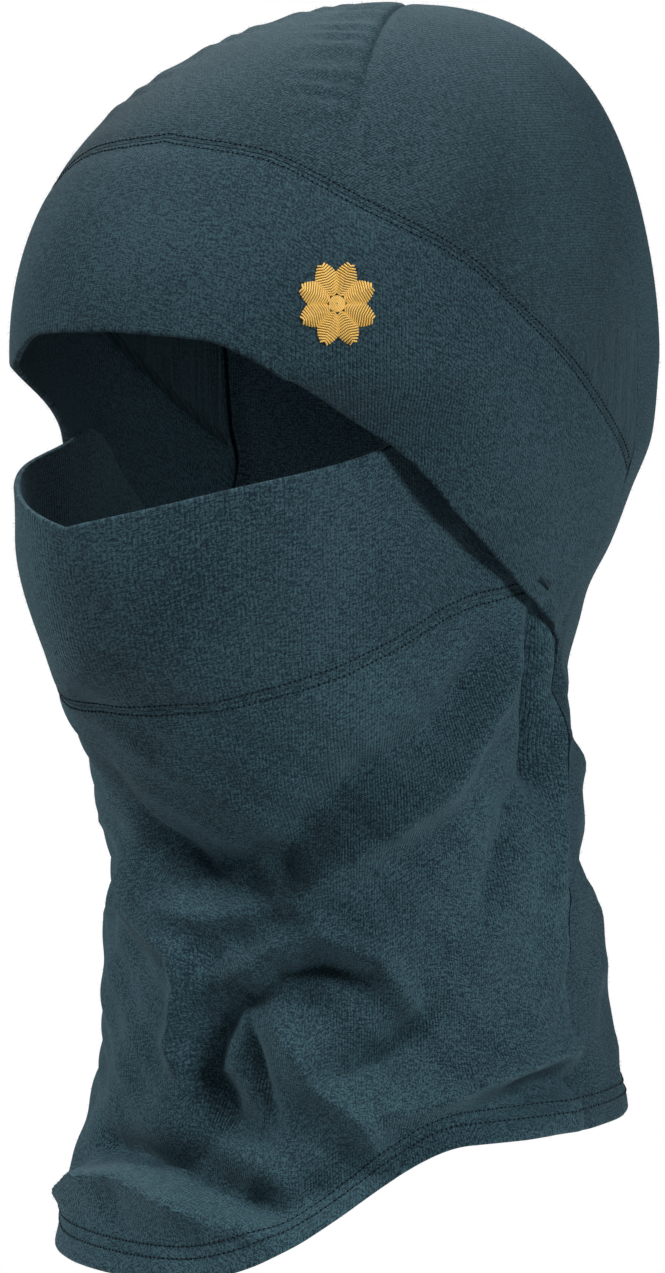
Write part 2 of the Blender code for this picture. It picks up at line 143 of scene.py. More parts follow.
# height, half width, centre, reach to the front, roundness
FRONT_LEVELS = (
    (-0.105, 0.0620, 0.0000, 0.1115, 1.85),
    (-0.138, 0.0630, 0.0000, 0.1115, 1.85),
    (-0.165, 0.0612, 0.0020, 0.1050, 1.85),
    (-0.188, 0.0604, 0.0040, 0.0890, 1.90),
    (-0.205, 0.0605, 0.0055, 0.0770, 1.95),
    (-0.222, 0.0618, 0.0070, 0.0675, 2.00),
    (-0.238, 0.0645, 0.0085, 0.0660, 2.00),
    (-0.285, 0.0695, 0.0095, 0.0675, 2.00),
    (-0.305, 0.0710, 0.0060, 0.0710, 2.00),
    (-0.340, 0.0780, 0.0010, 0.0800, 2.00),
)
SIDE_SEAM = (
    (0.000, 0.0340), (-0.060, 0.0365), (-0.095, 0.0400), (-0.123, 0.0410),
    (-0.144, 0.0320), (-0.167, 0.0210), (-0.195, 0.0180), (-0.340, 0.0170),
)
# degrees round from the centre of the front, height
CROWN_SEAM = (
    (0, -0.0340), (15, -0.0380), (32, -0.0530), (46, -0.0670), (55, -0.0810),
    (71, -0.1020), (90, -0.1230),
)
BRIM = (
    (0, -0.0830), (12, -0.0847), (17.5, -0.0896), (22.6, -0.0973), (27.5, -0.1067),
    (34, -0.1150), (42.7, -0.1300), (56.4, -0.1440), (68, -0.1530), (76, -0.1575),
    (90, -0.1670),
)
FACE_TOP = (
    (0, -0.1340), (8.5, -0.1300), (22, -0.1235), (44, -0.1160), (50, -0.1135),
    (56, -0.1163), (62, -0.1230), (76, -0.1370), (90, -0.1480),
)
FACE_SEAM = (
    (0, -0.1820), (14, -0.1805), (29.5, -0.1745), (48.7, -0.1645), (62, -0.1580),
    (76, -0.1545), (90, -0.1530), (97, -0.1640), (103.5, -0.1680),
)


def smooth_curve(points):
    """A curve through (place, value) points that never overshoots between two of them."""
    points = sorted(points)
    at = np.array([p[0] for p in points], float)
    value = np.array([p[1] for p in points], float)
    step = np.diff(at)
    rise = np.diff(value) / step
    slope = np.zeros_like(value)
    slope[0], slope[-1] = rise[0], rise[-1]
    for k in range(1, len(at) - 1):
        if rise[k - 1] * rise[k] > 0:
            before, after = 2 * step[k] + step[k - 1], step[k] + 2 * step[k - 1]
            slope[k] = (before + after) / (before / rise[k - 1] + after / rise[k])

    def read(x):
        x = np.clip(np.asarray(x, float), at[0], at[-1])
        k = np.clip(np.searchsorted(at, x, side="right") - 1, 0, len(at) - 2)
        s = (x - at[k]) / step[k]
        ends = (1 + 2 * s) * (1 - s) ** 2 * value[k] + s * s * (3 - 2 * s) * value[k + 1]
        turns = s * (1 - s) ** 2 * slope[k] + s * s * (s - 1) * slope[k + 1]
        return ends + step[k] * turns

    return read


def ease(x, start, end):
    """0 before start, 1 after end, smooth between."""
    s = np.clip((x - start) / (end - start), 0, 1)
    return s * s * (3 - 2 * s)


def table_column(table, n):
    return smooth_curve([(row[0], row[n]) for row in table])


neck_width, neck_centre, neck_front, neck_back = (
    table_column(NECK_LEVELS, n) for n in (1, 2, 3, 4)
)
front_width, front_centre, front_reach, front_round = (
    table_column(FRONT_LEVELS, n) for n in (1, 2, 3, 4)
)
side_seam_y, crown_seam, brim, face_top, face_seam = (
    smooth_curve(t) for t in (SIDE_SEAM, CROWN_SEAM, BRIM, FACE_TOP, FACE_SEAM)
)
print("sections:", len(NECK_LEVELS), "levels of the hood,", len(FRONT_LEVELS), "of the lower front")

# %% [markdown]
# A point of a skin is found by walking out from a vertical axis until the section is reached, by
# halving the interval. The skin's normal comes from how the section changes round that point.

# %% Points on a skin


def profile(up, power):
    """How far out the crown reaches at a share of its height, 1 at its widest level."""
    return (1 - up**power + 1e-9) ** (1 / power)


def hood_section(z):
    up = np.clip((z + CROWN_HEIGHT) / CROWN_HEIGHT, 0, 1)
    above = z > -CROWN_HEIGHT
    centre = np.where(above, LEVEL_CENTRE + CROWN_SET_BACK * up**2.3, neck_centre(z))
    width = np.where(above, HEAD_HALF_WIDTH * profile(up, ROUNDNESS), neck_width(z))
    front = np.where(above, HEAD_FRONT * profile(up, BROW_ROUNDNESS), neck_front(z))
    back = np.where(above, HEAD_BACK * profile(up, NAPE_ROUNDNESS), neck_back(z))
    return width, centre, front, back, ROUNDNESS


def front_section(z):
    reach = front_reach(z)
    return front_width(z), front_centre(z), reach, reach, front_round(z)


def level_of(section, x, y, z):
    width, centre, front, back, power = section(z)
    reach = np.where(y < centre, front, back)
    return (np.abs(x) / width) ** power + (np.abs(y - centre) / reach) ** power


def on_skin(section, turn, z, axis_y):
    """Places and normals of the skin in the direction turn from a vertical axis."""
    turn, z, axis_y = np.broadcast_arrays(turn, np.minimum(z, -1e-7), axis_y)
    along, across = np.cos(turn), np.sin(turn)
    low, high = np.zeros(z.shape), np.full(z.shape, 0.25)
    for _ in range(24):
        middle = (low + high) / 2
        inside = level_of(section, middle * along, axis_y + middle * across, z) < 1
        low, high = np.where(inside, middle, low), np.where(inside, high, middle)
    x, y = low * along, axis_y + low * across
    small = 1e-5
    slope = [
        level_of(section, x + dx, y + dy, np.minimum(z + dz, -1e-9))
        - level_of(section, x - dx, y - dy, z - dz)
        for dx, dy, dz in ((small, 0, 0), (0, small, 0), (0, 0, small))
    ]
    normal = np.stack(slope, -1)
    normal[z > -1e-5] = (0, 0, 1)
    normal /= np.linalg.norm(normal, axis=-1, keepdims=True)
    return np.stack([x, y, z], -1), normal


print("widest level:", round(2000 * HEAD_HALF_WIDTH), "mm wide,", 1000 * (HEAD_FRONT + HEAD_BACK), "mm long")

# %% [markdown]
# Loose cloth hangs in folds. Each fold is a short line across the neck tube with a width and a
# height, positive for a ridge and negative for a valley. The folds fan out of the two points where
# the tube is gathered below the jaw, swag across the throat, and roll over above the hem. A cloth
# simulation would find folds of its own, but not these, so they are listed one by one.

# %% Folds of the neck tube
# points as (degrees, height in mm), then width and height of the fold in mm
FOLDS = (
    # out of the left gather and across the throat
    (((88, -157), (75, -181), (60, -201), (48, -212)), 5.5, 5.5),
    (((84, -160), (73, -168), (59, -187), (43, -199), (22, -222), (3, -226), (-14, -222)), 6.0, -3.6),
    (((92, -157), (90, -172), (92, -202)), 3.4, -5.5),
    (((84, -208), (73, -236)), 5.0, -2.6),
    (((95, -158), (103, -180), (99, -210), (95, -232)), 4.5, 3.5),
    (((99, -165), (105, -192)), 3.0, -3.6),
    (((-16, -204), (-10, -219), (2, -229), (22, -232)), 5.5, -2.4),
    (((-24, -231), (-8, -236), (8, -237), (26, -231), (46, -213), (60, -205)), 6.0, 3.4),
    # down the front
    (((-26, -236), (-3, -247), (-2, -257), (-6, -272), (-3, -282)), 5.5, 5.2),
    (((12, -258), (4, -268), (0, -279), (9, -290), (16, -293)), 5.0, -6.2),
    (((10, -253), (21, -245), (31, -241), (44, -246), (52, -258)), 4.5, 3.5),
    (((14, -259), (22, -252), (32, -250), (42, -252)), 2.8, -2.2),
    (((22, -266), (31, -280), (40, -290), (48, -303)), 4.5, 4.6),
    (((14, -266), (17, -279), (21, -289)), 3.0, -3.0),
    (((56, -262), (45, -271), (33, -277)), 4.0, -3.0),
    # rolls above the hem
    (((2, -299), (14, -309), (25, -313), (40, -304), (54, -296), (70, -290), (90, -285), (101, -283)),
     5.4, -7.6),
    (((48, -288), (59, -286), (70, -280), (85, -277), (97, -275)), 4.5, 4.0),
    (((34, -320), (45, -312), (58, -305), (74, -297), (94, -292)), 4.5, 4.5),
    (((-46, -320), (-37, -318), (-29, -312), (-15, -309), (3, -315), (22, -320)), 4.6, 4.8),
    (((-30, -301), (-19, -301), (-3, -303), (8, -307)), 4.5, -5.5),
    (((75, -284), (83, -281), (94, -281)), 3.0, -2.5),
    # the wearer's right
    (((-88, -156), (-74, -180), (-62, -204), (-50, -218)), 5.0, 4.2),
    (((-93, -158), (-96, -180), (-95, -212)), 3.2, 3.8),
    (((-80, -166), (-68, -196), (-56, -218)), 4.4, -4.6),
    (((-99, -165), (-101, -195)), 3.2, -3.8),
    (((-66, -246), (-82, -256), (-100, -254)), 5.0, 3.0),
    (((-70, -268), (-90, -276)), 5.0, -3.4),
)
FOLD_RADIUS = 0.066            # of the neck tube, to measure across the folds
FOLD_STRENGTH = 1.9
DEEPEST_FOLD = 0.0068          # where folds cross they add up to this at most, before the strength
# height in mm, radians per metre across and down the cloth, and start of each slow wave of slack
SLACK_WAVES = ((0.9, 95, 120, 0.0), (0.6, 210, -160, 1.3), (0.35, 380, 420, 0.4))


def distance_to_line(across, height, line):
    """Distance to a bent line in the unrolled tube, and how far along it the nearest point is."""
    best = np.full(across.shape, 1.0)
    place = np.zeros(across.shape)
    count = len(line) - 1
    for k in range(count):
        start, end = np.array(line[k]), np.array(line[k + 1])
        way = end - start
        s = ((across - start[0]) * way[0] + (height - start[1]) * way[1]) / (way @ way)
        s = np.clip(s, 0, 1)
        far = np.hypot(across - start[0] - s * way[0], height - start[1] - s * way[1])
        place = np.where(far < best, (k + s) / count, place)
        best = np.minimum(best, far)
    return best, place


def fold_lift(degrees, z):
    """How far the folds push the lower front out of its skin."""
    across = np.radians(degrees) * FOLD_RADIUS
    lift = np.zeros(np.broadcast(degrees, z).shape)
    for points, width, height in FOLDS:
        line = [(math.radians(a) * FOLD_RADIUS, h * MM) for a, h in points]
        far, place = distance_to_line(across, z, line)
        taper = 0.35 + 0.65 * np.sin(np.pi * np.clip(place, 0.02, 0.98)) ** 0.5
        lift = lift + height * MM * taper * np.exp(-((far / (0.9 * width * MM)) ** 1.45))
    slack = sum(size * np.sin(across * a + z * b + start) for size, a, b, start in SLACK_WAVES) * MM
    reach = ease(-z, 0.150, 0.200)
    return FOLD_STRENGTH * DEEPEST_FOLD * np.tanh(lift / DEEPEST_FOLD) + slack * reach


def hem_height(x, y):
    """Height of the hem's edge, level behind and dropping to the front, a little to the right."""
    turn = np.radians(HEM_TURN)
    forward = ease(-y * np.cos(turn) - x * np.sin(turn), 0, HEM_REACH)
    drop = ease(SIDE_SEAM[-1][1] - y, 0, 0.030) * forward
    return HEM_BACK + (HEM_FRONT - HEM_BACK) * drop


def calm_at_hem(place, z):
    """The turned-up hem is stiffer than the cloth above it, so the folds fade out there."""
    above_hem = z - hem_height(place[..., 0], place[..., 1])
    return 0.25 + 0.75 * ease(above_hem, 0.001, 0.016)


print("folds:", len(FOLDS), "and", len(SLACK_WAVES), "waves of slack")

# %% [markdown]
# The hood is pulled smooth by the head, so it only has grooves where it is sewn, fine puckers
# beside the darts and a little slack. Every piece near a seam asks the same function, so two
# panels dip together where they meet.

# %% Seam grooves and puckers of the hood
DART_ANGLE = 28                # degrees from the front, on both sides
DART_TIP = -0.0315
GROOVE_DEPTH = 0.55 * MM       # of a coverstitched seam
GROOVE_WIDTH = 0.0028


def hood_lift(place, degrees, z):
    """How far seams, puckers and slack move the hood in or out of its skin."""
    x, y = place[..., 0], place[..., 1]
    away = np.abs(degrees)
    seam_gap = np.abs(z - crown_seam(away)) * 0.85
    front = y < side_seam_y(z)
    lift = np.where(front, -GROOVE_DEPTH * np.exp(-((seam_gap / GROOVE_WIDTH) ** 2)), 0)
    ruffle = np.sin(away * 2.3 + 2.0 * np.sin(away * 0.37))
    lift = lift + np.where(front, 0.07 * MM * ruffle * np.exp(-seam_gap / 0.004), 0)
    side_gap = np.abs(y - side_seam_y(z))
    pulled = ease(-z, 0.150, 0.175)
    lift = lift - (0.05 + 0.9 * pulled) * MM * np.exp(-((side_gap / 0.0020) ** 2))
    lift = lift + (0.03 + 0.2 * pulled) * MM * np.sin(z * 900) * np.exp(-side_gap / 0.005)
    reach = np.hypot(x, y - side_seam_y(z))
    dart = np.radians(away - DART_ANGLE) * reach
    along = ease(z, DART_TIP * 1.25, DART_TIP * 0.9)
    lift = lift - 1.3 * MM * along * np.exp(-((np.abs(dart) / 0.0009) ** 1.4))
    lift = lift + 0.5 * MM * along * np.exp(-(((dart + 0.0045) / 0.004) ** 2))
    wander = 130 * dart + 1.5 * np.sin(reach * 230)
    pucker = np.sin(reach * 720 + wander) * np.exp(-(((dart + 0.009) / 0.008) ** 2))
    lift = lift + 0.42 * MM * along * ease(reach, 0.012, 0.03) * pucker
    slack = 0.5 * np.sin(x * 62 + z * 45) + 0.35 * np.sin(y * 85 - z * 75 + 1.0)
    below = ease(-z, 0.120, 0.165)
    return lift + slack * MM * (0.8 + 0.8 * below)


def nape_folds(place, z):
    """Soft folds across the nape, where the long back panel sinks in below the head."""
    x, y = place[..., 0], place[..., 1]
    side = np.arctan2(x, y)
    strength = np.where(y > 0.02, ease(-z, 0.135, 0.165), 0) * ease(y, 0.02, 0.045)
    sag = z + 0.012 * np.cos(side * 1.3 + 0.3)
    wave = np.sin(sag * 150 + 1.2 * np.sin(side * 2.6)) + 0.5 * np.sin(sag * 330 + side * 4.1 + 1.0)
    near = np.clip((-z - 0.150) / 0.12, 0, 1)
    return 1.7 * MM * strength * wave * (0.4 + 0.6 * np.sin(near * math.pi))


print("darts: at", DART_ANGLE, "degrees; seam grooves", GROOVE_DEPTH / MM, "mm deep")

# %% [markdown]
# Two functions put everything on the cloth: one for the hood and the back of the neck tube, one for
# the lower front. Each takes degrees round from the front and a height, and gives the cloth's
# point there. Near the side seam the lower front eases over to the hood's skin, so both meet.

# %% Points on the cloth


def hinge_degrees(place):
    return np.degrees(np.arctan2(place[..., 1] - HINGE_Y, place[..., 0])) + 90


def around(degrees):
    """Degrees from the front, between -180 and 180."""
    return (degrees + 180) % 360 - 180


def hood(degrees, z, lift=0.0, past_seam=0.0):
    """A point of the hood's cloth, and the normal of its skin."""
    degrees, z = np.broadcast_arrays(np.asarray(degrees, float), z)
    turn = np.radians(degrees - 90)
    place, normal = on_skin(hood_section, turn, z, side_seam_y(z) + past_seam)
    out = hood_lift(place, around(degrees), z)
    below = ease(-z, 0.150, 0.178)
    turned = around(hinge_degrees(place))
    fade = 1 - ease(np.abs(turned), 112, 150)
    out = out * (1 - 0.4 * below) + below * fade * fold_lift(turned, z) * calm_at_hem(place, z)
    out = out + nape_folds(place, z)
    return place + normal * (out + lift)[..., None], normal


def front(degrees, z, lift=0.0):
    """A point of the lower front's cloth, and the normal of its skin."""
    degrees, z = np.broadcast_arrays(np.asarray(degrees, float), z)
    turn = np.radians(degrees - 90)
    inner, normal = on_skin(front_section, turn, z, HINGE_Y)
    away = np.abs(degrees)
    under_hood = ease(away, 26, 44) * (1 - 0.6 * ease(away, 68, 84)) * ease(z, -0.175, -0.150)
    inner = inner - normal * (FACE_TUCK * under_hood)[..., None]
    outer, outer_normal = on_skin(hood_section, turn, z, HINGE_Y)
    below_hood = 1 - ease(z, -0.172, -0.164)
    share = np.maximum(ease(away, 88, 97.5) * below_hood, ease(away, 97, 102))[..., None]
    place = inner + (outer - inner) * share
    normal = normal + (outer_normal - normal) * share
    normal /= np.linalg.norm(normal, axis=-1, keepdims=True)
    seam_gap = np.abs(z - face_seam(away)) * 0.95
    out = fold_lift(degrees, z) * ease(-z, 0.150, 0.178) * calm_at_hem(place, z)
    out = out - GROOVE_DEPTH * np.exp(-((seam_gap / GROOVE_WIDTH) ** 2))
    out = out + 0.08 * MM * np.sin(away * 2.3 + 2 * np.sin(away * 0.4)) * np.exp(-seam_gap / 0.004)
    crease = np.abs(degrees) * (1 - ease(-z, 0.150, 0.185))
    over_nose = ease(-z, 0.130, 0.140) * (1 - ease(-z, 0.150, 0.172))
    out = out - 1.1 * MM * np.exp(-((crease / 4.0) ** 1.2)) * over_nose
    face = ease(z, -0.186, -0.172)
    out = out + face * MM * (0.7 * np.sin(away * 0.10 + z * 60) + 0.35 * np.sin(away * 0.21 - z * 150))
    side_gap = np.abs(place[..., 1] - side_seam_y(z))
    out = out - np.where(z < -0.165, 0.8 * MM * np.exp(-((side_gap / 0.0022) ** 2)), 0)
    return place + normal * (out + lift)[..., None], normal


def meet_side_seam():
    """Degrees round from the front at which the lower front meets the side seam, by height."""
    z = np.linspace(-0.150, -0.340, 39)
    low, high = np.full(z.shape, 90.0), np.full(z.shape, 130.0)
    for _ in range(20):
        middle = (low + high) / 2
        place = on_skin(hood_section, np.radians(middle - 90), z, HINGE_Y)[0]
        before = place[:, 1] < side_seam_y(z)
        low, high = np.where(before, middle, low), np.where(before, high, middle)
    return smooth_curve(list(zip(z, low)))


side_turn = meet_side_seam()
print("the lower front meets the side seam", round(float(side_turn(-0.2))), "degrees round")

# %% [markdown]
# Materials and Geometry Nodes are both trees of nodes. One helper adds a node, fills its inputs
# with values or links, and gives it back. A shader node group is made once, with named inputs, and
# placed in each material with that material's own values.

# %% Node helpers
SOCKETS = {"float": "NodeSocketFloat", "vector": "NodeSocketVector", "color": "NodeSocketColor"}


def add_node(tree, kind, inputs, **settings):
    """Adds a node, changes its settings, then links or fills its inputs."""
    node = tree.nodes.new(kind)
    for name, value in settings.items():
        setattr(node, name, value)
    for socket, value in inputs.items():
        if isinstance(value, bpy.types.NodeSocket):
            tree.links.new(value, node.inputs[socket])
        else:
            node.inputs[socket].default_value = value
    return node


def new_group(name, sockets_in, sockets_out):
    group = bpy.data.node_groups.new(name, "ShaderNodeTree")
    for socket, kind, value in sockets_in:
        made = group.interface.new_socket(socket, in_out="INPUT", socket_type=SOCKETS[kind])
        if value is not None:
            made.default_value = value
    for socket, kind in sockets_out:
        group.interface.new_socket(socket, in_out="OUTPUT", socket_type=SOCKETS[kind])
    start = group.nodes.new("NodeGroupInput")
    end = group.nodes.new("NodeGroupOutput")
    return group, start, end


def math_node(tree, operation, *values):
    return add_node(tree, "ShaderNodeMath", dict(enumerate(values)), operation=operation).outputs[0]


def noise(tree, vector, scale, detail=2.0, roughness=0.5):
    inputs = {"Vector": vector, "Scale": scale, "Detail": detail, "Roughness": roughness}
    return add_node(tree, "ShaderNodeTexNoise", inputs).outputs["Fac"]


def stretched(tree, vector, scale):
    inputs = {"Vector": vector, "Scale": scale}
    return add_node(tree, "ShaderNodeMapping", inputs).outputs["Vector"]


def mix_colors(tree, share, first, second, **settings):
    inputs = {"Factor": share, 6: first, 7: second}
    return add_node(tree, "ShaderNodeMix", inputs, data_type="RGBA", **settings).outputs[2]


print("node helpers ready, sockets:", ", ".join(SOCKETS))

# %% [markdown]
# Jersey is knitted in columns called wales and rows called courses, with a V in every stitch. This
# group makes both from the cloth's own map, whose units are metres. Modelled loops would be finer,
# but at 0.8 by 0.6 mm a hood has several hundred thousand of them.

# %% Knitted stitches


def knit_group():
    """Height of plain knitting: rounded wales with a V where each stitch meets the next, and the gaps
    between the wales, which the jersey darkens as painted shade.
    """
    group, start, end = new_group(
        "knit_stitches",
        (("Map", "vector", None), ("Wale Pitch", "float", 0.0008), ("Course Pitch", "float", 0.0006)),
        (("Height", "float"), ("Gap", "float")),
    )
    calc = partial(math_node, group)
    wobble = noise(group, stretched(group, start.outputs["Map"], (60, 60, 60)), 1.0, 1.0)
    split = add_node(group, "ShaderNodeSeparateXYZ", {0: start.outputs["Map"]})
    across = calc("ADD", split.outputs["X"], calc("MULTIPLY", wobble, 0.0016))
    part = calc("FRACT", calc("DIVIDE", across, start.outputs["Wale Pitch"]))
    off_centre = calc("ABSOLUTE", calc("SUBTRACT", part, 0.5))
    course = calc("DIVIDE", split.outputs["Y"], start.outputs["Course Pitch"])
    slanted = calc("ADD", course, calc("MULTIPLY", off_centre, 1.1))
    loops = calc("SINE", calc("MULTIPLY", slanted, 2 * math.pi))
    rib = calc("SUBTRACT", 1.0, calc("POWER", calc("MULTIPLY", off_centre, 2.0), 3.0))
    height = calc("MULTIPLY", rib, calc("MULTIPLY_ADD", loops, 0.22, 0.78))
    group.links.new(height, end.inputs["Height"])
    group.links.new(calc("SUBTRACT", 1.0, rib), end.inputs["Gap"])
    return group


KNIT = knit_group()
print(KNIT.name, len(KNIT.nodes), "nodes")

# %% [markdown]
# Heathered yarn is spun from light and dark fibres, so the colour is a fine fleck that runs with
# the knitting, broken up by clumps of brushed fluff and by a slow drift of the dye.

# %% Heathered fibres


def heather_group():
    """Light and dark fibres, clumps of brushed fluff and slow drift of the dye."""
    group, start, end = new_group(
        "heathered_fibres",
        (("Map", "vector", None), ("Place", "vector", None), ("Dark", "color", (0.01, 0.02, 0.03, 1)),
         ("Light", "color", (0.1, 0.2, 0.2, 1)), ("Amount", "float", 0.5)),
        (("Color", "color"), ("Fluff", "float")),
    )
    calc = partial(math_node, group)
    fibres = noise(group, stretched(group, start.outputs["Map"], (420, 2900, 1)), 1.0, 1.5, 0.6)
    cross = noise(group, stretched(group, start.outputs["Map"], (2600, 1400, 1)), 1.0, 1.0, 0.6)
    clumps = noise(group, start.outputs["Place"], 1700.0, 1.5, 0.6)
    drift = noise(group, start.outputs["Place"], 26.0, 2.0, 0.5)
    both = calc("ADD", calc("MULTIPLY", fibres, 0.5), calc("MULTIPLY", cross, 0.5))
    spread, lump, slow = (
        calc("MULTIPLY", calc("SUBTRACT", source, 0.5), strength)
        for source, strength in ((both, 3.6), (clumps, 1.7), (drift, 0.5))
    )
    total = calc("ADD", calc("ADD", spread, lump), slow)
    share = calc("MULTIPLY_ADD", total, start.outputs["Amount"], 0.45)
    clamp = add_node(group, "ShaderNodeClamp", {"Value": share})
    mixed = mix_colors(group, clamp.outputs[0], start.outputs["Dark"], start.outputs["Light"])
    group.links.new(mixed, end.inputs["Color"])
    group.links.new(clumps, end.inputs["Fluff"])
    return group


HEATHER = heather_group()
print(HEATHER.name, len(HEATHER.nodes), "nodes")

# %% [markdown]
# The jersey's material places both groups. Its relief is a bump, since a stitch is only 0.8 mm wide.
# Brushed cloth glows a little where it turns away, which is the sheen, set on the shader itself.

# %% Jersey and thread


def principled(name):
    material = bpy.data.materials.new(name)
    material.use_nodes = True
    tree = material.node_tree
    return material, tree, tree.nodes["Principled BSDF"]


def set_shader(tree, shader, values):
    for socket, value in values.items():
        if isinstance(value, bpy.types.NodeSocket):
            tree.links.new(value, shader.inputs[socket])
        else:
            shader.inputs[socket].default_value = value


def bump_node(tree, height, strength, distance):
    inputs = {"Strength": strength, "Distance": distance, "Height": height}
    return add_node(tree, "ShaderNodeBump", inputs).outputs[0]


def jersey(name, dark, light, sheen=0.12, amount=1.7, bump=0.6):
    """Brushed jersey: heathered colour darkened between the wales as painted shade, knitted relief, fluff
    and a soft fibre sheen.
    """
    material, tree, shader = principled(name)
    flat = add_node(tree, "ShaderNodeUVMap", {}, uv_map="cloth").outputs[0]
    place = tree.nodes.new("ShaderNodeTexCoord").outputs["Object"]
    knit = add_node(tree, "ShaderNodeGroup", {}, node_tree=KNIT)
    tree.links.new(flat, knit.inputs["Map"])
    heather = add_node(tree, "ShaderNodeGroup", {}, node_tree=HEATHER)
    values = {"Map": flat, "Place": place, "Dark": (*dark, 1), "Light": (*light, 1), "Amount": amount}
    set_shader(tree, heather, values)
    # the gaps between the wales darken the colour: painted shade
    gap_shade_share = math_node(tree, "MULTIPLY", knit.outputs["Gap"], 0.45)
    painted_gap_shade = mix_colors(tree, gap_shade_share, heather.outputs["Color"], (0.45, 0.5, 0.55, 1), blend_type="MULTIPLY")
    fluff = heather.outputs["Fluff"]
    height = math_node(tree, "MULTIPLY_ADD", fluff, 0.9, knit.outputs["Height"])
    set_shader(tree, shader, {
        "Base Color": painted_gap_shade,
        "Normal": bump_node(tree, height, bump, 0.00035),
        "Roughness": math_node(tree, "MULTIPLY_ADD", fluff, 0.15, 0.80),
        "Specular IOR Level": 0.18,
        "Sheen Weight": sheen,
        "Sheen Roughness": 0.42,
        "Sheen Tint": (0.42, 0.68, 0.78, 1),
    })
    return material


def twisted_thread(name, dark, light, roughness=0.7, specular=0.25, twist=5200.0):
    """Spun thread: fine slanting plies along the piece, lighter on their crests and darker in the grooves as
    painted light and shade, and a little fluff.
    """
    material, tree, shader = principled(name)
    place = tree.nodes.new("ShaderNodeTexCoord").outputs["Object"]
    inputs = {"Vector": place, "Scale": twist / 20, "Distortion": 3.0}
    ply_relief_and_shade = add_node(tree, "ShaderNodeTexWave", inputs, bands_direction="DIAGONAL").outputs["Fac"]
    fluff = math_node(tree, "MULTIPLY", noise(tree, place, 900.0, 2.0), 0.4)
    # the colour follows the plies: painted light on each crest, painted shade in each groove
    share = math_node(tree, "MULTIPLY_ADD", ply_relief_and_shade, 0.6, fluff)
    set_shader(tree, shader, {
        "Base Color": mix_colors(tree, share, (*dark, 1), (*light, 1)),
        "Normal": bump_node(tree, ply_relief_and_shade, 0.5, 0.0001),
        "Roughness": roughness,
        "Specular IOR Level": specular,
        "Sheen Weight": 0.06,
    })
    return material


print("two kinds of material: jersey and twisted thread")

# %% [markdown]
# The panels are cut from one cloth, but each panel has its own pair of dark and light fibres,
# lighter or darker than the others as painted light and shade. The sewing thread is dyed to match.

# %% Materials
# one cloth in five copies, lighter or darker per panel: painted light and shade
JERSEYS = {
    name: jersey(name + "_jersey", dark, light)
    for name, dark, light in (
        ("crown", (0.0050, 0.0155, 0.0235), (0.032, 0.067, 0.082)),
        ("band", (0.0055, 0.0170, 0.0265), (0.032, 0.072, 0.090)),
        ("back", (0.0050, 0.0155, 0.0245), (0.030, 0.066, 0.084)),
        ("face", (0.0060, 0.0190, 0.0290), (0.036, 0.080, 0.099)),
        ("neck", (0.0065, 0.0210, 0.0315), (0.040, 0.090, 0.111)),
    )
}
SEWING = twisted_thread("sewing_thread", (0.006, 0.019, 0.027), (0.026, 0.058, 0.071), 0.85, 0.08)
# dark specks of painted shadow for the needle holes
SHADOW_SPECK = twisted_thread("needle_hole_shadow", (0.002, 0.004, 0.006), (0.006, 0.010, 0.013), 1.0, 0.0)
GOLD = twisted_thread("gold_thread", (0.50, 0.26, 0.045), (1.0, 0.66, 0.17), 0.42, 0.4, 16000.0)
BACKING = twisted_thread("tear_away_backing", (0.50, 0.49, 0.46), (0.72, 0.71, 0.68), 0.95, 0.1)
FIBRE = twisted_thread("loose_fibre", (0.020, 0.048, 0.058), (0.10, 0.17, 0.19), 0.8, 0.1)
print("materials:", len(bpy.data.materials))

# %% [markdown]
# A cloth panel is a grid of points on its skin, once outside and once inside, closed along its
# edges. Where the cloth is folded, as at the brim, the edge is rolled round in a half circle, and
# where it is cut it stays square. The panel's map holds distances along the cloth in metres, so
# that the knitting is the same size everywhere.

# %% Cloth panels
CLOTH = 0.0009
FOLD_STEPS = 5
SHARP = math.radians(55)


def wrap_faces(index):
    """Faces between neighbouring rows of points, with the last row joined to the first."""
    below = np.roll(index, -1, axis=0)
    quads = np.stack([index[:, :-1], index[:, 1:], below[:, 1:], below[:, :-1]], -1)
    return quads.reshape(-1, 4).tolist()


def panel_mesh(name, points, faces, flat=None):
    """A mesh of the points and faces, with flat as its map in metres."""
    mesh = bpy.data.meshes.new(name)
    mesh.from_pydata(points.reshape(-1, 3).tolist(), [], faces)
    if flat is not None:
        layer = mesh.uv_layers.new(name="cloth")
        corners = np.empty(len(mesh.loops), dtype=np.int32)
        mesh.loops.foreach_get("vertex_index", corners)
        layer.data.foreach_set("uv", flat.reshape(-1, 2)[corners].ravel())
    return mesh


def cloth_map(place, dome):
    """Distance across and down the cloth. On the dome, columns of knitting run front to back."""
    x, y, z = place[..., 0], place[..., 1], place[..., 2]
    if dome:
        across = 0.085 * np.arctan2(x, np.maximum(z + 0.105, 0.02))
        down = 0.095 * np.arctan2(-(y - 0.02), np.maximum(z + 0.11, 0.02))
        return np.stack([across, down], -1)
    across = 0.075 * np.unwrap(np.arctan2(x, -(y - 0.01)), axis=1)
    steps = np.linalg.norm(np.diff(place, axis=0), axis=-1)
    down = np.concatenate([np.zeros((1, place.shape[1])), np.cumsum(steps, axis=0)])
    return np.stack([across, down], -1)


